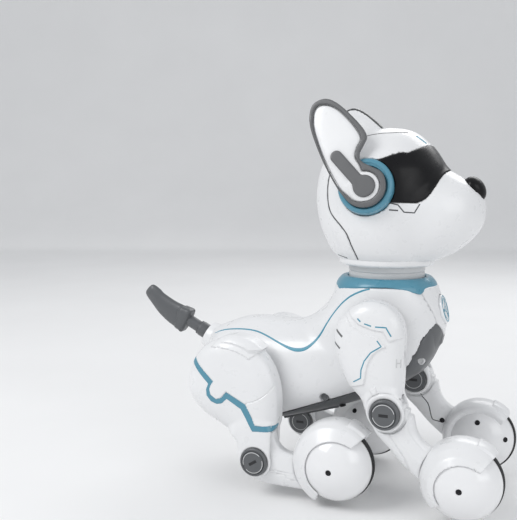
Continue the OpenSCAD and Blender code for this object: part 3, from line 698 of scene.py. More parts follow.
def socket_form(x, y, z):
    """Cone that carries the tail."""
    a, b, c = in_tail(x, y, z)
    slope = (SOCKET_FOOT_R - SOCKET_RIM_R) / (SOCKET_RIM - SOCKET_FOOT)
    r = SOCKET_FOOT_R - slope * (a - SOCKET_FOOT)
    return np.maximum(np.hypot(b, c) - r, between(a, SOCKET_FOOT, SOCKET_RIM))


# ---------- stripes and lines on the body ----------

def on_flank(f, outline, side, steps=6):
    """A smooth line of (x, z) points seen from the side, dropped on to the surface of f."""
    reach = 60
    path = smooth_open(outline, steps)
    points = np.stack([path[:, 0], np.zeros(len(path)), path[:, 1]], 1)
    points = drop(f, points, 1, 0, reach)
    points[:, 1] *= SIDES[side]
    return points


FLANK_STRIPE = [(-74, 102.4), (-67.6, 105.3), (-58.8, 107.6), (-47.5, 108.9), (-36.7, 108.6),
                (-27.8, 106.5), (-14.5, 101.8), (-6.1, 99.3), (-0.3, 98.8), (5.3, 100.2), (10.4, 104.2),
                (15.6, 111), (22.3, 122.8), (29.4, 132.3), (37.3, 139.2), (46, 143.8), (52, 145.8)]


def make_stripes():
    for side in SIDES:
        path = on_flank(body, FLANK_STRIPE, side)
        # widest at its low bend, thin at the tail
        bend = np.exp(-((path[:, 0] - 1) / 11) ** 2)
        width = (1.25 + 1.5 * bend) * np.clip((path[:, 0] + 75) / 8, 0.35, 1)
        add(f"flank_stripe_{side}", ribbon(body, path, width, 0.12), None, TEAL_PRINT, "torso",
            "teal_plastic")


# ---------- chest badge, collar and neck ----------

BADGE_TILT = math.radians(90 - 14.4)
BADGE_FRAME = Matrix.Translation(BADGE_AT) @ Matrix.Rotation(BADGE_TILT, 4, "Y")


def band(r, width, low, high, start=0, stop=360, n=64):
    """A flat arc of the given width with square ends, from height low to high."""
    angles = np.radians(np.linspace(start, stop, n + 1))
    section = [(r - width / 2, low), (r + width / 2, low), (r + width / 2, high), (r - width / 2, high)]
    points = np.array([(q * math.cos(a), q * math.sin(a), h) for a in angles for q, h in section])
    faces = [(i * 4 + j, (i + 1) * 4 + j, (i + 1) * 4 + (j + 1) % 4, i * 4 + (j + 1) % 4)
             for i in range(n) for j in range(4)]
    if stop - start < 360:
        faces += [(0, 1, 2, 3), (n * 4 + 3, n * 4 + 2, n * 4 + 1, n * 4)]
    return shaped(points, faces)


def bar(a, b, width, low, high):
    """A flat bar from a to b."""
    a, b = np.array(a, float), np.array(b, float)
    n = np.array([a[1] - b[1], b[0] - a[0]]) / np.hypot(*(b - a)) * width / 2
    points = np.array([(*q, h) for h in (low, high) for q in (a - n, b - n, b + n, a + n)])
    walls = [(i, (i + 1) % 4, (i + 1) % 4 + 4, i + 4) for i in range(4)]
    return shaped(points, [(0, 1, 2, 3), (4, 5, 6, 7)] + walls)


def joined(shapes):
    """One shape from several."""
    points = np.vstack([s[0] for s in shapes])
    normals = np.vstack([s[2] for s in shapes])
    faces, start = [], 0
    for s in shapes:
        faces += [tuple(int(i) + start for i in f) for f in s[1]]
        start += len(s[0])
    return points, faces, normals


def make_badge():
    rim = fillet([(0, -1.6), (BADGE_R, -1.6), (BADGE_R, 0.3), (BADGE_R - 0.7, 0.62), (0, 0.75)], 0.3,
                 closed=False)
    add("badge_disc", lathe(rim, closed=False), BADGE_FRAME, BADGE, "torso", None, "chest_badge")
    low, high = 0.55, 0.78
    marks = [band(9.1, 0.7, low, high), band(7.2, 0.55, low, high + 0.05, 20, 120),
             band(7.2, 0.55, low, high + 0.05, 150, 235), band(7.2, 0.55, low, high + 0.05, 265, 350),
             band(2.2, 0.6, low, high + 0.1)]
    for angle in (35, 155, 275):
        c, s = math.cos(math.radians(angle)), math.sin(math.radians(angle))
        marks.append(bar((2.4 * c, 2.4 * s), (5.6 * c, 5.6 * s), 0.6, low, high + 0.1))
        marks.append(placed_shape(band(0.55, 1.0, low, high + 0.1, n=16), (5.9 * c, 5.9 * s, 0)))
    add("badge_rings", joined(marks), BADGE_FRAME, TEAL_PRINT, "torso", "teal_plastic")


def placed_shape(shape, at):
    return shape[0] + np.array(at), shape[1], shape[2]


COLLAR_LOW_R, COLLAR_TOP_R, COLLAR_INNER = 35.8, 31.4, 27.7
COLLAR_FOOT, COLLAR_RISE, COLLAR_TOP = 144.5, 7.2, 152
# lower edge of the collar by angle from the front: the step is at the edge of the chest plate
COLLAR_EDGE = np.array([(0, 145.2), (23, 145), (33, 144), (40, 142.1), (49, 143.6), (57, 145), (68, 146.3),
                        (78, 146.8), (92, 146.5), (105, 145.8), (120, 144.7), (143, 143), (160, 144.4),
                        (180, 145)])


def collar(x, y, z):
    r = np.hypot(x - NECK_X, y)
    angle = np.degrees(np.abs(np.arctan2(y, x - NECK_X)))
    t = np.clip((z - COLLAR_FOOT) / COLLAR_RISE, -0.3, 1.2)
    up = np.clip(t, 0, 1)
    outer = COLLAR_LOW_R + 0.35 + (COLLAR_TOP_R - COLLAR_LOW_R) * t + 0.9 * np.sin(np.pi * up)
    outer = outer + 1.1 * np.exp(-((angle - 40) / 11) ** 2) * (1 - up)
    edge = np.interp(angle, COLLAR_EDGE[:, 0], COLLAR_EDGE[:, 1])
    return soft_all(1.2, (r - outer) * 0.92, COLLAR_INNER - r, z - COLLAR_TOP, edge - z)


def make_neck():
    low, high = (NECK_X - 39, -39, 141), (NECK_X + 39, 39, COLLAR_TOP)
    add("collar_ring", surface_of(collar, low, high, 0.9 * COARSE), None, TEAL, "torso", None, "collar")
    centre = Matrix.Translation((NECK_X, 0, 0))
    stem = fillet([(8, 127), (11, 127), (11, 148), (26.8, 148), (27, 154.6), (26.4, 155), (26.4, 155.6),
                   (27.1, 156), (27.2, 160.2), (8, 160.2)], 0.4)
    add("neck_ring", lathe(stem), centre, PALE, "head", None, "neck_stem")
    base = fillet([(20.2, 159.8), (31, 159.8), (33.4, 160.7), (34, 162.4), (34.2, 165.2), (32.4, 167.6),
                   (20.2, 167.6)], 1.2)
    add("jaw_ring", lathe(base), centre, WHITE, "head", None, "head_base")


# ---------- head ----------

# height, reach back and forward from the neck axis, half width, reach and half width of the muzzle
HEAD = track([
    (164.6, 34.1, 34.3, 34.2, 12.8, 20), (170, 39.7, 37.3, 38, 24.2, 26), (179, 44.5, 40.3, 41.6, 34.9, 31),
    (188.5, 48.3, 42.3, 43.8, 41.6, 33.6), (199, 50.7, 43.5, 45, 43.6, 34.4), (209, 51.3, 43.7, 45, 41.4, 32),
    (217, 50.5, 43.1, 44.6, 34.5, 27), (223, 49.4, 42.1, 43.9, 25, 20), (228, 47.9, 40.7, 42.8, 15, 12),
    (234, 44.9, 37.3, 40.4, 6, 6), (241, 39.4, 32.5, 36, 2, 3), (247.5, 30.9, 26.3, 29.4, 2, 3),
    (252, 21.7, 20.3, 21.4, 2, 3), (254.8, 12.1, 13.3, 12.6, 2, 3), (256.07, 0, 0, 0, 2, 3)], (1, 2, 3))
MUZZLE_X = 80
HEAD_LOW = 164.6


def head(x, y, z):
    """Outer form of the head: a cranium and a muzzle, blended at every height."""
    dx = x - NECK_X
    rho = np.hypot(dx, y) + 1e-9
    c, s = dx / rho, y / rho
    rx = np.where(c > 0, HEAD(z, 2), HEAD(z, 1))
    skull = 1 / np.hypot(c / rx, s / HEAD(z, 3))
    rx, ry, d = HEAD(z, 4), HEAD(z, 5), MUZZLE_X - NECK_X
    p = (c / rx) ** 2 + (s / ry) ** 2
    q = d * c / rx ** 2
    room = q * q - p * ((d / rx) ** 2 - 1)
    muzzle = np.where((room > 0) & (ry > 5), (q + np.sqrt(np.maximum(room, 0))) / p, 0)
    r = soft_max(skull, muzzle, 7)
    form = (rho * rho - r * r) / (2 * np.sqrt(rho * rho + 225))
    return np.maximum(form, between(z, HEAD_LOW, 256.2))


VISOR = np.vstack([
    [(46, 205.5), (76, 204.9)],
    smooth_open([(82.4, 204.7), (87, 206.8), (90.4, 210.5), (93.8, 216.6), (96.2, 222.6), (100, 227),
                 (108, 230)], 3),
    [(112, 258), (88, 244.4), (75.2, 236.9), (73, 237.6), (70, 237.1), (57, 232.6), (46, 230)]])
REAR_SEAM = smooth_open([(43, 160), (42.5, 166.9), (39.5, 175), (36.5, 183), (31.8, 188.8), (24.8, 196),
                         (21.8, 203), (20.9, 214), (22.3, 224.5), (27, 240), (36, 262)], 5)
REAR_SIDE = np.vstack([REAR_SEAM, [(-20, 262), (-20, 160)]])
# centre, half sizes across, sideways and along, and the lean of its long axis
NOSE_AT, NOSE_R, NOSE_LEAN = (115.8, 0, 213.5), (6.8, 9, 9.4), math.radians(31.6)
EAR_AT, EAR_LEAN, EAR_TURN, EAR_DISC_R = (51.2, 48, 215), 13.5, 2.2, 18.8
EAR_DISC_SHIFT = (-0.5, 1.3)


def nose(x, y, z):
    c, s = math.cos(NOSE_LEAN), math.sin(NOSE_LEAN)
    u, v = x - NOSE_AT[0], z - NOSE_AT[2]
    across, along = u * c + v * s, v * c - u * s
    wide = NOSE_R[1] * (1 + 0.02 * along)
    q = np.sqrt((across / NOSE_R[0]) ** 2 + (y / wide) ** 2 + (along / NOSE_R[2]) ** 2)
    return (q - 1) * NOSE_R[0]


def in_ear(x, y, z):
    """Coordinates of the ear's plane on the nearer side: forward, up the ear, outwards."""
    c, s = math.cos(math.radians(90 - EAR_LEAN)), math.sin(math.radians(90 - EAR_LEAN))
    u, v = -np.abs(y) + EAR_AT[1], z - EAR_AT[2]
    return x - EAR_AT[0], u * c + v * s, -u * s + v * c


def ear_matrix(side):
    right = Matrix.Translation((EAR_AT[0], -EAR_AT[1], EAR_AT[2])) \
        @ Matrix.Rotation(math.radians(90 - EAR_LEAN), 4, "X")
    return right if side == "right" else Matrix.Diagonal((1, -1, 1, 1)) @ right


def disc_hole(x, y, z):
    a, b, w = in_ear(x, y, z)
    return np.maximum(from_point(a, b, EAR_DISC_SHIFT) - EAR_DISC_R - GAP, -14 - w)


def make_head():
    half, top = 47, 257
    step = 1.25 * COARSE

    def front(x, y, z):
        return soft_all(0.8, head(x, y, z), GAP - to_outline(x, z, REAR_SIDE), GAP - to_outline(x, z, VISOR),
                        0.1 - nose(x, y, z), -disc_hole(x, y, z))
    add("face_shell", surface_of(front, (0, -half, HEAD_LOW), (125, half, top), step), None, WHITE, "head",
        None, "head_front_shell")

    def rear(x, y, z):
        return soft_all(0.8, head(x, y, z), GAP + to_outline(x, z, REAR_SIDE))
    add("nape_shell", surface_of(rear, (0, -half, HEAD_LOW), (45, half, top), step), None, WHITE, "head",
        None, "head_rear_shell")

    def glass(x, y, z):
        h = head(x, y, z)
        return soft_all(0.7, h - 0.35, to_outline(x, z, VISOR), -h - 4, -disc_hole(x, y, z))
    add("visor_glass", surface_of(glass, (44, -half, 203), (100, half, 247), 0.9 * COARSE), None, BLACK_GLOSS,
        "head", None, "visor")
    low, high = np.array(NOSE_AT) - 11, np.array(NOSE_AT) + 11
    add("nose_tip", surface_of(nose, low, high, 0.7 * COARSE), None, BLACK_GLOSS,
        "head", None, "nose")
    make_head_lines()


# lines seen from the side as (x, z) and from above as (x, y), with their widths
# the side lines are drawn as strips of painted seam shadow
SIDE_LINES = {
    "cheek_line_shadow": ([(67, 204.6), (71.9, 203.4), (75.6, 198.6), (81.8, 198.1), (85, 203.9)], 0.85),
    "cheek_dash_shadow": ([(66.4, 200.1), (72, 199.7)], 0.95),
    "nape_notch_shadow": ([(25.6, 167.2), (34, 165.6)], 1.1)}
CROWN_MARKS = (
    ("crown_line", [(44, 24.5), (54, 23.4), (63.7, 20.4), (71.8, 13.6)], 0.8, GREY, "grey_plastic"),
    ("brow_mark", [(77.2, 11), (80.4, 10.6), (83.8, 9.4)], 2.6, TEAL_PRINT, "teal_plastic"))


def make_head_lines():
    for side in SIDES:
        # the nape seam and side lines are dark strips of painted shadow in place of the shade in their
        # grooves; they are passed the black_plastic slot, but their colour is painted shadow
        path = on_flank(head, REAR_SEAM[2:-8], side, steps=1)
        add(f"nape_seam_shadow_{side}", ribbon(head, path, 0.8, 0.04), None, PAINTED_SEAM_SHADOW, "head", "black_plastic")
        for name, (points, width) in SIDE_LINES.items():
            path = on_flank(head, fine(points, 1.2), side, steps=1)
            add(f"{name}_{side}", ribbon(head, path, width, 0.05), None, PAINTED_SEAM_SHADOW, "head", "black_plastic")
        for name, points, width, material, slot in CROWN_MARKS:
            path = smooth_open(points, 6) * (1, SIDES[side])
            path = drop(head, np.column_stack([path, np.zeros(len(path))]), 2, 215, 262)
            add(f"{name}_{side}", ribbon(head, path, width, 0.2), None, material, "head", slot)


def fine(points, spacing):
    """The same open path with points no further apart than spacing."""
    out = []
    for a, b in zip(np.array(points, float), np.array(points[1:], float)):
        n = max(1, int(np.hypot(*(b - a)) / spacing))
        out += [a + (b - a) * i / n for i in range(n)]
    return np.array(out + [points[-1]])


# ---------- ears ----------

EAR = smooth_closed([(14, 3), (11, 9.4), (3.4, 13.6), (-2.4, 17), (-4, 22), (-1.2, 28.6), (0.6, 34),
                     (-4, 42), (-17, 55.4), (-26.8, 61.4), (-34.8, 60.4), (-39.2, 54.8), (-38.8, 42),
                     (-30, 20), (-19.8, 1.6), (-14, -6.2), (-8, -12), (0, -14.2), (8, -11.8), (13.4, -5)], 5)
EAR_FACE = smooth_closed([(-3.4, 14), (-7, 20), (-6.2, 26.4), (-3.6, 33), (-9, 42.2), (-19.8, 53.4),
                          (-28.8, 57.6), (-35.2, 56), (-37.2, 49), (-35.6, 38.4), (-27.4, 18), (-17.8, 0.8),
                          (-12.4, -4.8), (-6.6, -9.4), (0, -10.2), (4, -6), (0, 4)], 5)
EAR_RING_R, EAR_BUTTON_R = 10.2, 7.5
LEVER = ((-19.4, 20.6), (-2, 1), 4.2)


def ear_white(a, b):
    return np.minimum(to_outline(a, b, EAR_FACE), np.hypot(a, b) - EAR_RING_R)


def ear_lever(a, b):
    arm = np.sqrt(to_segment(a, b, LEVER[0], LEVER[1])) - LEVER[2]
    return soft_min(arm, np.hypot(a, b) - EAR_BUTTON_R, 1.5)


def make_ears():
    step = 0.8 * COARSE
    low, high = (-42, -16, -1), (16, 65, 6)

    def rim(a, b, w):
        edge = to_outline(a, b, EAR)
        back = np.maximum(edge + 0.9, w - 1.3)
        return soft_all(1.0, edge, 0.12 - ear_white(a, b), w - 3.7, 0.3 - w, -back)

    def face(a, b, w):
        flat = ear_white(a, b)
        front = 1.9 + 0.9 * (1 - fade(flat, 4)) + 0.6 * ramp(np.hypot(a, b) - 10.6, 2)
        plate = soft_all(0.6, to_outline(a, b, EAR) + 1.05, w - 1.2, 0.2 - w)
        return np.minimum(soft_all(0.6, flat + 0.12, w - front, 0.2 - w), plate)

    def lever(a, b, w):
        return soft_all(1.0, ear_lever(a, b), w - 4.5, 2 - w)
    shapes = {"ear_rim": (surface_of(rim, low, high, step), GREY, ("ear_frame",)),
              "ear_shell": (surface_of(face, low, high, step), WHITE, ("ear_face",)),
              "ear_lever": (surface_of(lever, (-25, -10, 1), (10, 28, 6), step), GREY, ())}
    section = fillet(np.vstack([[(0, -8), (EAR_DISC_R, -8)], arc((EAR_DISC_R - 2.9, -2.7), 2.9, 0, 96, 8),
                                [(15, -0.2), (0, -0.2)]]), 0.4)

    def disc(a, b, w):
        outer = to_outline(from_point(a, b, EAR_DISC_SHIFT), w, section)
        hub = np.hypot(a, b)
        return soft_all(0.5, outer, -np.maximum(hub - 14.5, -1.6 - w), 4.6 - hub)
    ring = surface_of(disc, (-21, -20, -9), (20, 22, 1), step)
    hub = [(0, -9), (3, -9), (3, -1.2), (13.2, -1.2), (13.8, -0.6), (13.8, 0.9), (0, 0.9)]
    pivot = lathe(fillet(hub, 0.4, closed=False), closed=False)
    for side in SIDES:
        matrix = ear_matrix(side)
        turned = matrix @ Matrix.Rotation(math.radians(EAR_TURN), 4, "Z")
        for name, (shape, material, nodes) in shapes.items():
            add(f"{name}_{side}", shape, turned, material, f"ear_{side}", None,
                *[f"{n}_{side}" for n in nodes])
        add(f"ear_pivot_{side}", pivot, matrix, GREY, f"ear_{side}")
        # one CAD node holds both discs
        stands_for = ["ear_discs"] if side == "left" else []
        add(f"headphone_disc_{side}", ring, matrix, TEAL, "head", None, *stands_for)


# ---------- limbs, in the side frame (x, z, o) ----------

LEG_IN = -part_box("upper_arm_right")[1][1] / MM
ARM_OUT = -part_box("upper_arm_right")[0][1] / MM
THIGH_OUT = -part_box("thigh_right")[0][1] / MM
SLOT_IN, SLOT_OUT = 43.8, 55.4
RING_R, PIN_HOLE_R = 12.6, 9.9


def side_line(f, outline, near=45, far=68):
    """A line of (x, z) points laid on a side face of a limb, the outer one unless told otherwise."""
    path = fine(outline, 1.0)
    return drop(f, np.column_stack([path, np.zeros(len(path))]), 2, near, far)


ARM = np.vstack([
    arc(ELBOW, RING_R, -160, 15, 12),
    smooth_open([(78.6, 80), (79.2, 92), (79.4, 106), (79.8, 117), (77.4, 127.6), (72, 134.4), (65, 138.6),
                 (56.6, 139.9), (48.4, 137.8), (40.6, 131.6), (34.6, 123.4), (32.4, 113.4), (34.2, 102.6),
                 (38.4, 90.6), (44, 81), (50, 75)], 3)])
ARM_CAP = np.array([(40, 136), (46, 128.8), (51.5, 124.7), (60.2, 121.9), (67.2, 121.3), (70.9, 114.9),
                    (80, 117.6), (90, 120), (90, 150), (40, 150)])
ARM_PLATE = np.vstack([
    [(25, 131), (40.2, 131), (45.6, 123.6), (54.4, 118.9), (64.4, 117), (69, 111)],
    smooth_open([(66.4, 110.4), (60.8, 105.6), (57, 98), (55.8, 90)], 3),
    [(54.4, 85), (44.8, 81.6), (25, 78)]])
ARM_TRENCH = 1.1
TAB_ANGLES = (38, 118)


def tabs(x, z, at, angles, r, size):
    """Small blocks that stand out from a ring at the given angles."""
    best = np.inf
    for a in np.radians(angles):
        u = (x - at[0]) * math.cos(a) + (z - at[1]) * math.sin(a)
        v = -(x - at[0]) * math.sin(a) + (z - at[1]) * math.cos(a)
        best = np.minimum(best, np.maximum(np.abs(u - r) - size[0] / 2, np.abs(v) - size[1] / 2))
    return best


def swung_forearm(x, z, o, degrees):
    """The forearm after a turn of the elbow."""
    c, s = math.cos(math.radians(degrees)), math.sin(math.radians(degrees))
    u, v = x - ELBOW[0], z - ELBOW[1]
    return forearm(ELBOW[0] + u * c - v * s, ELBOW[1] + u * s + v * c, o)


def arm(x, z, o):
    edge = to_outline(x, z, ARM)
    plates = ramp(np.minimum(to_outline(x, z, ARM_CAP), to_outline(x, z, ARM_PLATE)), 0.9)
    ring = from_point(x, z, ELBOW)
    collar_groove = np.exp(-((ring - RING_R - 0.9) / 0.55) ** 2)
    in_slot = np.minimum(ring - RING_R - 0.8, to_outline(x, z, ARM_SLOT))
    near_slot = ramp(in_slot - 2, 7)
    roll, reach = 7 - 4.6 * near_slot, 4.6 - 2.8 * near_slot
    out = ARM_OUT - roll * fade(edge, reach) + ARM_TRENCH * (plates - 1)
    near_pin = ramp(ring - RING_R - 0.5, 3)
    out = out * (1 - near_pin) + (ARM_OUT - 0.5) * near_pin - 0.7 * collar_groove
    out = out + 0.8 * ramp(tabs(x, z, ELBOW, TAB_ANGLES, RING_R + 3.4, (4.6, 4.2)), 0.6)
    inner = LEG_IN + 1.6 * fade(edge, 1.6)
    slot = np.maximum(between(o, SLOT_IN, SLOT_OUT), in_slot)
    form = soft_all(1.2, edge, o - out, inner - o, -slot, PIN_HOLE_R - ring)
    for degrees in ELBOW_BENDS:
        form = np.maximum(form, FOREARM_ROOM - swung_forearm(x, z, o, degrees))
    return form


# turns of the elbow, down to its lower limit, that the upper arm leaves room for
ELBOW_BENDS, FOREARM_ROOM = (-25, -17, -8), 0.35
ARM_SLOT = np.array([ELBOW, ELBOW + (12, -44), ELBOW + (44, -12), ELBOW + (36, 36), ELBOW + (9, 9)])
FOREARM = np.vstack([
    arc(ELBOW, 12.2, 36, 200, 10),
    smooth_open([(58.4, 58), (63, 50), (70.6, 42.6), (80.6, 32), (92, 22.6)], 3),
    [(108, 14), (108, 40)],
    smooth_open([(99.6, 44.6), (93.4, 48.6), (89.4, 54), (87.6, 60), (86.6, 65.4)], 3),
    [(83.6, 66.4), (84.6, 69.2), (81.4, 70.4), (82, 73.2)]])
FOREARM_IN, FOREARM_OUT = 42, 58
FOREARM_GROOVE = smooth_open([(62, 66), (67.2, 58.9), (75.5, 47.5), (82.7, 36.5), (85, 29)], 4)
FOREARM_INNER_LINE = [(73, 55.5), (80, 48.3), (82.8, 38), (85.4, 35.4), (98, 34.6)]
FOREARM_SCREW = (91.1, 36.2)
FOREARM_RIDGE = smooth_open([(82, 78), (82.6, 67), (84.4, 57), (89.6, 48.6), (99, 40)], 4)


def forearm(x, z, o):
    edge = to_outline(x, z, FOREARM)
    ring = from_point(x, z, ELBOW)
    groove = np.exp(-(to_path(x, z, FOREARM_GROOVE) / 0.5) ** 2)
    ridge = ramp(-to_outline(x, z, np.vstack([FOREARM_RIDGE, [(130, 40), (130, 90)]])), 1.2)
    out = FOREARM_OUT - 5 * fade(edge, 4.4) - 0.75 * groove - 0.7 * (1 - ridge)
    inner = FOREARM_IN + 4 * fade(edge, 4)
    relief = np.maximum(ring - RING_R - 1.6, -between(o, 44.4, 54.8))
    foot = from_point(x, z, FRONT_AXLE) - FRONT_FENDER_R + 0.8
    return soft_all(1.2, edge, o - out, inner - o, -relief, -foot)


THIGH = np.vstack([
    arc(KNEE, 12, -170, 20, 12),
    smooth_open([(-10.8, 36), (-10.4, 44.4), (-9, 49), (-8.6, 60), (-8.8, 70), (-11.2, 81), (-15.4, 90.4),
                 (-23, 99.4), (-34, 106.4), (-46.6, 108.4), (-60, 103.8), (-69, 96.4), (-75, 86), (-77.8, 74),
                 (-76.4, 64), (-70, 55.6), (-62.5, 49.8), (-54.3, 45.6), (-46.4, 41.4), (-40.4, 38),
                 (-37.2, 34.4), (-36.2, 28)], 3)])
THIGH_CAP = np.vstack([
    smooth_open([(-57.4, 101.2), (-50.6, 108.4), (-40.7, 110.4), (-28, 107.6), (-19, 101.4)], 3),
    smooth_open([(-27.6, 95), (-34, 98.6), (-42.7, 100.9), (-51, 101.8)], 3)])
# upper and lower edge of the blue stripe across the thigh, which divides its two plates
BAND_UPPER = np.array([(-72, 92.8), (-66.9, 88.5), (-53.8, 77.2), (-55.9, 74.4), (-57.2, 71.3), (-56.4, 67.4),
                       (-52.2, 64.6), (-48.4, 66), (-44.2, 70.8), (-29.2, 63.2), (-21.9, 48.8), (-4, 49.2)])
BAND_LOWER = np.array([(-4, 45.2), (-24.4, 44), (-33.1, 59.1), (-43.9, 65.3), (-47.6, 61.6), (-52, 60.6),
                       (-56.6, 62.2), (-59.9, 66), (-60.4, 70.6), (-58.6, 75), (-68, 83.6), (-76, 90)])
BAND = np.vstack([BAND_UPPER, BAND_LOWER])
UPPER_PLATE = np.vstack([BAND_UPPER, [(10, 49), (10, 130), (-95, 130), (-95, 106)]])
THIGH_SEAM = smooth_open([(-7.1, 82.3), (-12.8, 73.1), (-20.4, 66.9), (-28.7, 63.7)], 5)
SHANK_TOP_R = 24.4


def thigh(x, z, o):
    cap = to_outline(x, z, THIGH_CAP)
    edge = soft_min(to_outline(x, z, THIGH), cap, 1)
    ring = from_point(x, z, KNEE)
    plate = ramp(to_outline(x, z, UPPER_PLATE), 0.8)
    near_slot = ramp(ring - SHANK_TOP_R - 3, 8)
    roll, reach = 8.5 - 6.7 * near_slot, 6 - 4.4 * near_slot
    out = THIGH_OUT - roll * fade(edge, reach) + 0.9 * (plate - 1) + 1.0 * ramp(cap, 0.9)
    out = out - 0.5 * np.exp(-(to_path(x, z, THIGH_SEAM) / 0.45) ** 2)
    near_pin = ramp(ring - 11.6, 4)
    out = out * (1 - near_pin) + (THIGH_OUT - 0.5) * near_pin
    inner = LEG_IN + 1.6 * fade(edge, 1.6)
    slot = np.maximum(between(o, SHANK_IN - 0.4, SHANK_OUT + 0.4), ring - SHANK_TOP_R - 0.8)
    return soft_all(1.2, edge, o - out, inner - o, -slot, PIN_HOLE_R - ring)


SHANK = np.vstack([
    arc(KNEE, SHANK_TOP_R, 60, 118, 8),
    smooth_open([(-35, 37), (-35.2, 26), (-33.4, 15.4), (-27, 8), (-16, 5.6), (0, 5), (16, 5)], 3),
    [(16, 30)],
    smooth_open([(5, 28.6), (-2, 30), (-6.6, 33), (-9.6, 37.6), (-10.6, 42)], 3)])
SHANK_IN, SHANK_OUT = 44.2, 57.8
SHANK_LINES = ([(-13.6, 17.8), (-2, 16.6), (7, 16.4)],
               [(-12.4, 16), (-0.4, 14.4), (-0.2, 12.2), (7.6, 11.6)])


def shank(x, z, o):
    edge = to_outline(x, z, SHANK)
    out = SHANK_OUT - 4 * fade(edge, 4.4)
    for line in SHANK_LINES:
        out = out - 0.4 * np.exp(-(to_path(x, z, np.array(line)) / 0.4) ** 2)
    inner = SHANK_IN + 3 * fade(edge, 4)
    foot = from_point(x, z, REAR_AXLE) - REAR_FENDER_R + 1.2
    return soft_all(1.2, edge, o - out, inner - o, -foot)


def make_limbs():
    step = 0.85 * COARSE
    rows = (("arm_shell", arm, "upper_arm", "front_upper", (30, 52, LEG_IN, 83, 142, ARM_OUT + 1.2)),
            ("forearm_shell", forearm, "forearm", "front_lower", (55, 14, 41, 109, 80, 59)),
            ("thigh_shell", thigh, "thigh", "rear_upper", (-80, 9, LEG_IN, -6, 112, THIGH_OUT + 1.4)),
            ("shank_shell", shank, "shank", "rear_lower", (-38, 3, 43, 17, 49, 59)))
    for name, f, node, moving, box in rows:
        shape = surface_of(f, box[:3], box[3:], step)
        for side in SIDES:
            add(f"{name}_{side}", shape, side_matrix(side), WHITE, f"{moving}_{side}", None,
                f"{node}_{side}")

    def band_piece(x, z, o):
        t = thigh(x, z, o)
        return soft_all(0.4, to_outline(x, z, BAND) + 0.1, t - 0.25, -t - 1.2, 48 - o)
    shape = surface_of(band_piece, (-78, 42, 48), (-6, 94, THIGH_OUT + 1), 0.62 * COARSE)
    for side in SIDES:
        add(f"thigh_stripe_{side}", shape, side_matrix(side), TEAL, f"rear_upper_{side}", None,
            f"thigh_band_{side}")
    make_arm_marks()


# marks on the outer face of the upper arm: height, material, finish, then lines of (x, z) and their widths
ARM_MARKS = (
    ("arm_stripe", 0.08, TEAL_PRINT, "teal_plastic", (
        ([(49.9, 129.1), (52.1, 127.1)], 1.0), ([(54.7, 126), (59.4, 124.7)], 0.9),
        ([(62, 124.4), (69, 124.3), (72.4, 118.6)], 0.9),
        ([(63.4, 115.4), (66.2, 111.7), (59.3, 107.1), (55.1, 101.2), (53, 95), (52.7, 89.4),
          (47.5, 86.2)], 0.85))),
    ("arm_vent", 0.06, GREY, None, (
        ([(34.6, 120), (39.6, 116)], 1.5), ([(33.4, 111.3), (37.8, 107.8)], 1.5))),
    ("arm_clip", 0.25, PALE, None, (
        ([(75.6, 103.4), (75.6, 97.8)], 0.8), ([(78, 103), (78, 97.6)], 0.8),
        ([(75.6, 100.7), (78, 100.4)], 0.8))))


def make_arm_marks():
    inner_line = side_line(forearm, smooth_open(FOREARM_INNER_LINE, 4), near=48, far=38)
    end_screw = screw(1.9, 3)
    spot = Matrix.Translation((*FOREARM_SCREW, FOREARM_IN - 0.5)) @ Matrix.Rotation(math.pi, 4, "Y")
    for side in SIDES:
        matrix = side_matrix(side)
        upper, lower = f"front_upper_{side}", f"front_lower_{side}"
        # the forearm line is a dark strip of painted shadow along its seam
        add(f"forearm_line_{side}", ribbon(forearm, inner_line, 0.8, 0.05), matrix, PAINTED_SEAM_SHADOW, lower,
            "black_plastic")
        add(f"forearm_screw_{side}", end_screw, matrix @ np.array(spot), SCREW, lower)
        for name, proud, material, slot, lines in ARM_MARKS:
            for i, (line, width) in enumerate(lines):
                mark = ribbon(arm, side_line(arm, line), width, proud)
                add(f"{name}_{i}_{side}", mark, matrix, material, upper, slot)


# ---------- pins ----------

PIN_BACK, PIN_BACK_R = 37.4, 9.4


def make_pins():
    rows = (("elbow", ELBOW, "front_upper", ARM_OUT - 0.8, 63.2, 0),
            ("knee", KNEE, "rear_upper", THIGH_OUT - 0.8, 63.7, 32))
    r = 10
    for name, at, moving, base, top, turn in rows:
        cap = fillet([(0, PIN_BACK), (PIN_BACK_R, PIN_BACK), (PIN_BACK_R, LEG_IN + 0.2), (4, LEG_IN + 0.4),
                      (4, base), (r, base), (r, top - 1.1), (r - 0.7, top - 0.5), (r - 1.5, top - 0.5),
                      (r - 1.7, top - 1.1), (r - 2.1, top - 1.1), (r - 2.3, top - 0.2), (r - 3, top),
                      (0, top)], 0.25, closed=False)
        ring = [band(r - 2.75, 0.42, top - 0.3, top + 0.05, start + turn, start + turn + 150, n=40)
                for start in (15, 195)]
        slot = bar((-3.1, 0), (3.1, 0), 2.0, top - 0.5, top + 0.06)
        back_ring = band(6.6, 0.42, PIN_BACK - 0.06, PIN_BACK + 0.3)
        back_slot = bar((-3.1, 0), (3.1, 0), 2.0, PIN_BACK - 0.08, PIN_BACK + 0.4)
        for side in SIDES:
            matrix = side_matrix(side) @ np.array(Matrix.Translation((*at, 0)))
            turned = matrix @ np.array(Matrix.Rotation(math.radians(turn), 4, "Z"))
            add(f"{name}_cap_{side}", lathe(cap, closed=False), matrix, DARK, f"{moving}_{side}", None,
                f"{name}_pin_{side}")
            add(f"{name}_ring_{side}", joined(ring), matrix, PALE, f"{moving}_{side}")
            add(f"{name}_slot_{side}", slot, turned, BLACK, f"{moving}_{side}")
            add(f"{name}_back_ring_{side}", back_ring, matrix, PALE, f"{moving}_{side}")
            add(f"{name}_back_slot_{side}", back_slot, matrix, BLACK, f"{moving}_{side}")


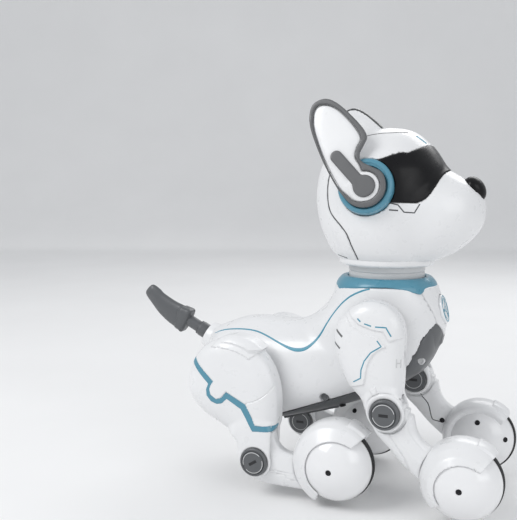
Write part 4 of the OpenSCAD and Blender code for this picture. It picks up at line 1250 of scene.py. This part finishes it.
# ---------- feet, in (u, v, o) about the axle ----------

REAR_FENDER_R, FRONT_FENDER_R = 31, 28.2
DOME_R, DOME_MID, DOME_DEPTH = TYRE_R - 0.8, 51, 19.7
CUP_R, CUP_MID, CUP_DEPTH = 24.8, 47, 19
FLOOR_GAP = 1.0
# outer radius, start and end of the sweep, radius and centre of the opening
FENDERS = {"front": (FRONT_FENDER_R, 44, 225, 17.6, (1.6, -2)),
           "rear": (REAR_FENDER_R, 46, 244, 20, (2.2, -0.4))}
# section of the space inside a fender, as (r, o)
FENDER_ROOM = fillet([(6, 76), (15, 67.1), (20, 63.6), (24.2, 58.2), (25.9, 56), (26.8, 52), (26.8, 44.8),
                      (23.6, 43.2), (20.4, 38), (6, 30)], 0.8)
LIP_SWEEP, LIP_RISE = 27, 1.2


def half_plane(u, v, angle):
    a = math.radians(angle)
    return u * math.sin(a) - v * math.cos(a)


def fender_of(r_out, start, stop, opening, opening_at):
    """Spherical shell over the tyre with a bevel down to a round opening and a raised plate at its front."""
    form = np.vstack([[(6, 34), (19.6, 36.4)], smooth_open([
        (r_out - 5.4, 35.5), (r_out - 2.9, 36.6), (r_out - 1.1, 40), (r_out - 0.2, 44), (r_out, 48),
        (r_out - 0.2, 52), (r_out - 1, 55.8), (r_out - 3.3, 60.2)], 4), [(20.3, 65.4), (6, 73.4)]])
    form = fillet(form, 1.1, 4)

    def fender(u, v, o):
        r = np.hypot(u, v)
        angle = np.degrees(np.arctan2(v, u))
        turn = np.maximum(start - 20 - angle, angle - start - LIP_SWEEP) * (r_out * math.pi / 180)
        lip = ramp(turn, 1.1) * ramp(between(o, 41, 56), 1.4)
        outer = to_outline(r - LIP_RISE * lip, o, form)
        tilt = (o - 50) * 0.1
        ends = np.minimum(half_plane(u, v, start) + tilt, -half_plane(u, v, stop))
        hole = np.minimum(opening - from_point(u, v, opening_at), o - 55)
        return soft_all(0.9, outer, -to_outline(r, o, FENDER_ROOM), ends, hole, FLOOR_GAP - TYRE_R - v)
    return fender


def foot_cup():
    bowl = [(CUP_R * c, CUP_MID - CUP_DEPTH * s) for c, s in arc((0, 0), 1, 90, 2, 16)]
    bowl[0] = (0, bowl[0][1])
    inside = [(22.6 * c, CUP_MID - (CUP_DEPTH - 2) * s) for c, s in arc((0, 0), 1, 2, 90, 16)]
    inside[-1] = (0, inside[-1][1])
    return lathe(np.vstack([bowl, [(CUP_R, 46.5), (22.8, 46.5)], inside]), closed=False)


def screw(r, depth):
    """Round screw head with a hollow in the middle, its rim just above height 0."""
    section = [(0, -depth), (r, -depth), (r, -0.2), (r - 0.25, 0.05), (r * 0.62, 0.05), (r * 0.46, -0.35),
               (0, -0.4)]
    return lathe(fillet(section, 0.12, closed=False), closed=False, n=40)


# distance and angle about the axle
CUP_SCREWS = {"front": ((14.6, 93), (19.4, 9), (15, 235)), "rear": ((16.2, 128), (19.4, 44), (15, 270))}


def make_feet():
    shells = {where: surface_of(fender_of(*row), (-33, -26, 34), (33, 35, 70), 0.75 * COARSE)
              for where, row in FENDERS.items()}
    cup = foot_cup()
    dome = lathe(np.vstack([[(0, 34), (1.9, 34), (1.9, 60), (21, 50.4), (DOME_R - 2.2, 50.2),
                             (DOME_R - 0.5, 50.4)],
                            [(DOME_R * c, DOME_MID + DOME_DEPTH * s) for c, s in arc((0, 0), 1, 2, 84, 26)],
                            [(2.3, 70.62), (1.9, 70.3), (1.8, 69.4), (0, 69.4)]]), closed=False)
    tyre = lathe(fillet([(22.2, 47.2), (25, 47.1), (25.05, 45.8), (25.6, 45.8), (26, 46.6), (26, 48.7),
                         (25.75, 48.95), (25.75, 49.45), (26, 49.7), (25.8, 50.4), (25.3, 50.9),
                         (22.2, 50.9)], 0.25))
    hole = screw(1.85, 2)
    small = screw(1.9, 3)
    for side in SIDES:
        for where, axle in (("front", FRONT_AXLE), ("rear", REAR_AXLE)):
            matrix = side_matrix(side) @ np.array(Matrix.Translation((*axle, 0)))
            leg, wheel = f"{where}_lower_{side}", f"{where}_wheel_{side}"
            add(f"{where}_fender_{side}", shells[where], matrix, WHITE, leg, None, f"{where}_foot_{side}")
            add(f"{where}_bowl_{side}", cup, matrix, GLOSS_WHITE, leg)
            add(f"{where}_ball_{side}", dome, matrix, GLOSS_WHITE, wheel, None, f"{where}_dome_{side}")
            add(f"{where}_tread_{side}", tyre, matrix, TYRE, wheel, None, f"{where}_tyre_{side}")
            add(f"{where}_hub_screw_{side}", placed_shape(hole, (0, 0, 70.5)), matrix, SCREW, wheel)
            for i, (r, angle) in enumerate(CUP_SCREWS[where]):
                rise = math.sqrt(1 - (r / CUP_R) ** 2)
                lean = math.atan2(r / CUP_R ** 2, rise / CUP_DEPTH)
                # the head stands half a millimetre out of the bowl
                spot = (Matrix.Rotation(math.radians(angle), 4, "Z")
                        @ Matrix.Translation((r, 0, CUP_MID - CUP_DEPTH * rise))
                        @ Matrix.Rotation(math.pi - lean, 4, "Y") @ Matrix.Translation((0, 0, 0.5)))
                add(f"{where}_screw_{i}_{side}", small, matrix @ np.array(spot), SCREW, leg)


# ---------- tail ----------

BLADE = smooth_closed([(25, -9.4), (34, -11.4), (47, -9.6), (58, -5.6), (66.4, -1.8), (67.6, 2.4),
                       (64.8, 8.6), (58, 8.8), (52, 7.4), (40, 7.2), (31, 8.2), (25, 7.8)], 5)
CLAMP = smooth_closed([(22.8, -9.6), (27, -10.8), (31, -9.9), (31.4, -4), (33.8, 3), (32.8, 7), (29, 8.4),
                       (22.8, 7.6)], 5)


def blade(a, b, c):
    edge = to_outline(a, c, BLADE)
    half = 4.4 - 3.0 * fade(edge, 2.4) - 0.02 * (a - 25)
    paddle = soft_max(edge, np.abs(b) - half, 1.2)
    grip = to_outline(a, c, CLAMP)
    clamp = soft_all(1.4, grip, np.abs(b) - 6.6 + 2.2 * fade(grip, 1.6))
    return soft_min(paddle, clamp, 0.5)


def make_tail():
    shape = surface_of(blade, (22, -8, -13), (69, 8, 11), 0.7 * COARSE)
    add("tail_paddle", shape, SOCKET_FRAME, DARK, "tail", None, "tail_blade")
    along = SOCKET_FRAME @ Matrix.Rotation(math.radians(90), 4, "Y")
    shaft = [(0, -4), (5.2, -4), (5.6, 3.2), (5.9, 3.6), (5.9, 10.4), (5.5, 10.8), (5.5, 11.6), (5.9, 12),
             (4.6, 12.4), (4.6, 23), (0, 23)]
    rod = lathe(fillet(shaft, 0.3, closed=False), closed=False, n=64)
    add("tail_rod", rod, along, DARK, "tail", None, "tail_shaft")
    cone = [(8.7, -7), (10.8, -9), (12.4, -9), (12.4, -6), (9.9, SOCKET_RIM), (9.3, SOCKET_RIM + 0.3),
            (8.7, SOCKET_RIM)]
    socket = lathe(fillet(cone, 0.5))
    add("tail_root", socket, along, WHITE, "torso", None, "tail_socket")


dress_frame()
make_torso()
make_stripes()
make_badge()
make_neck()
make_head()
make_ears()
make_limbs()
make_pins()
make_feet()
make_tail()
set_camera()
set_stage()
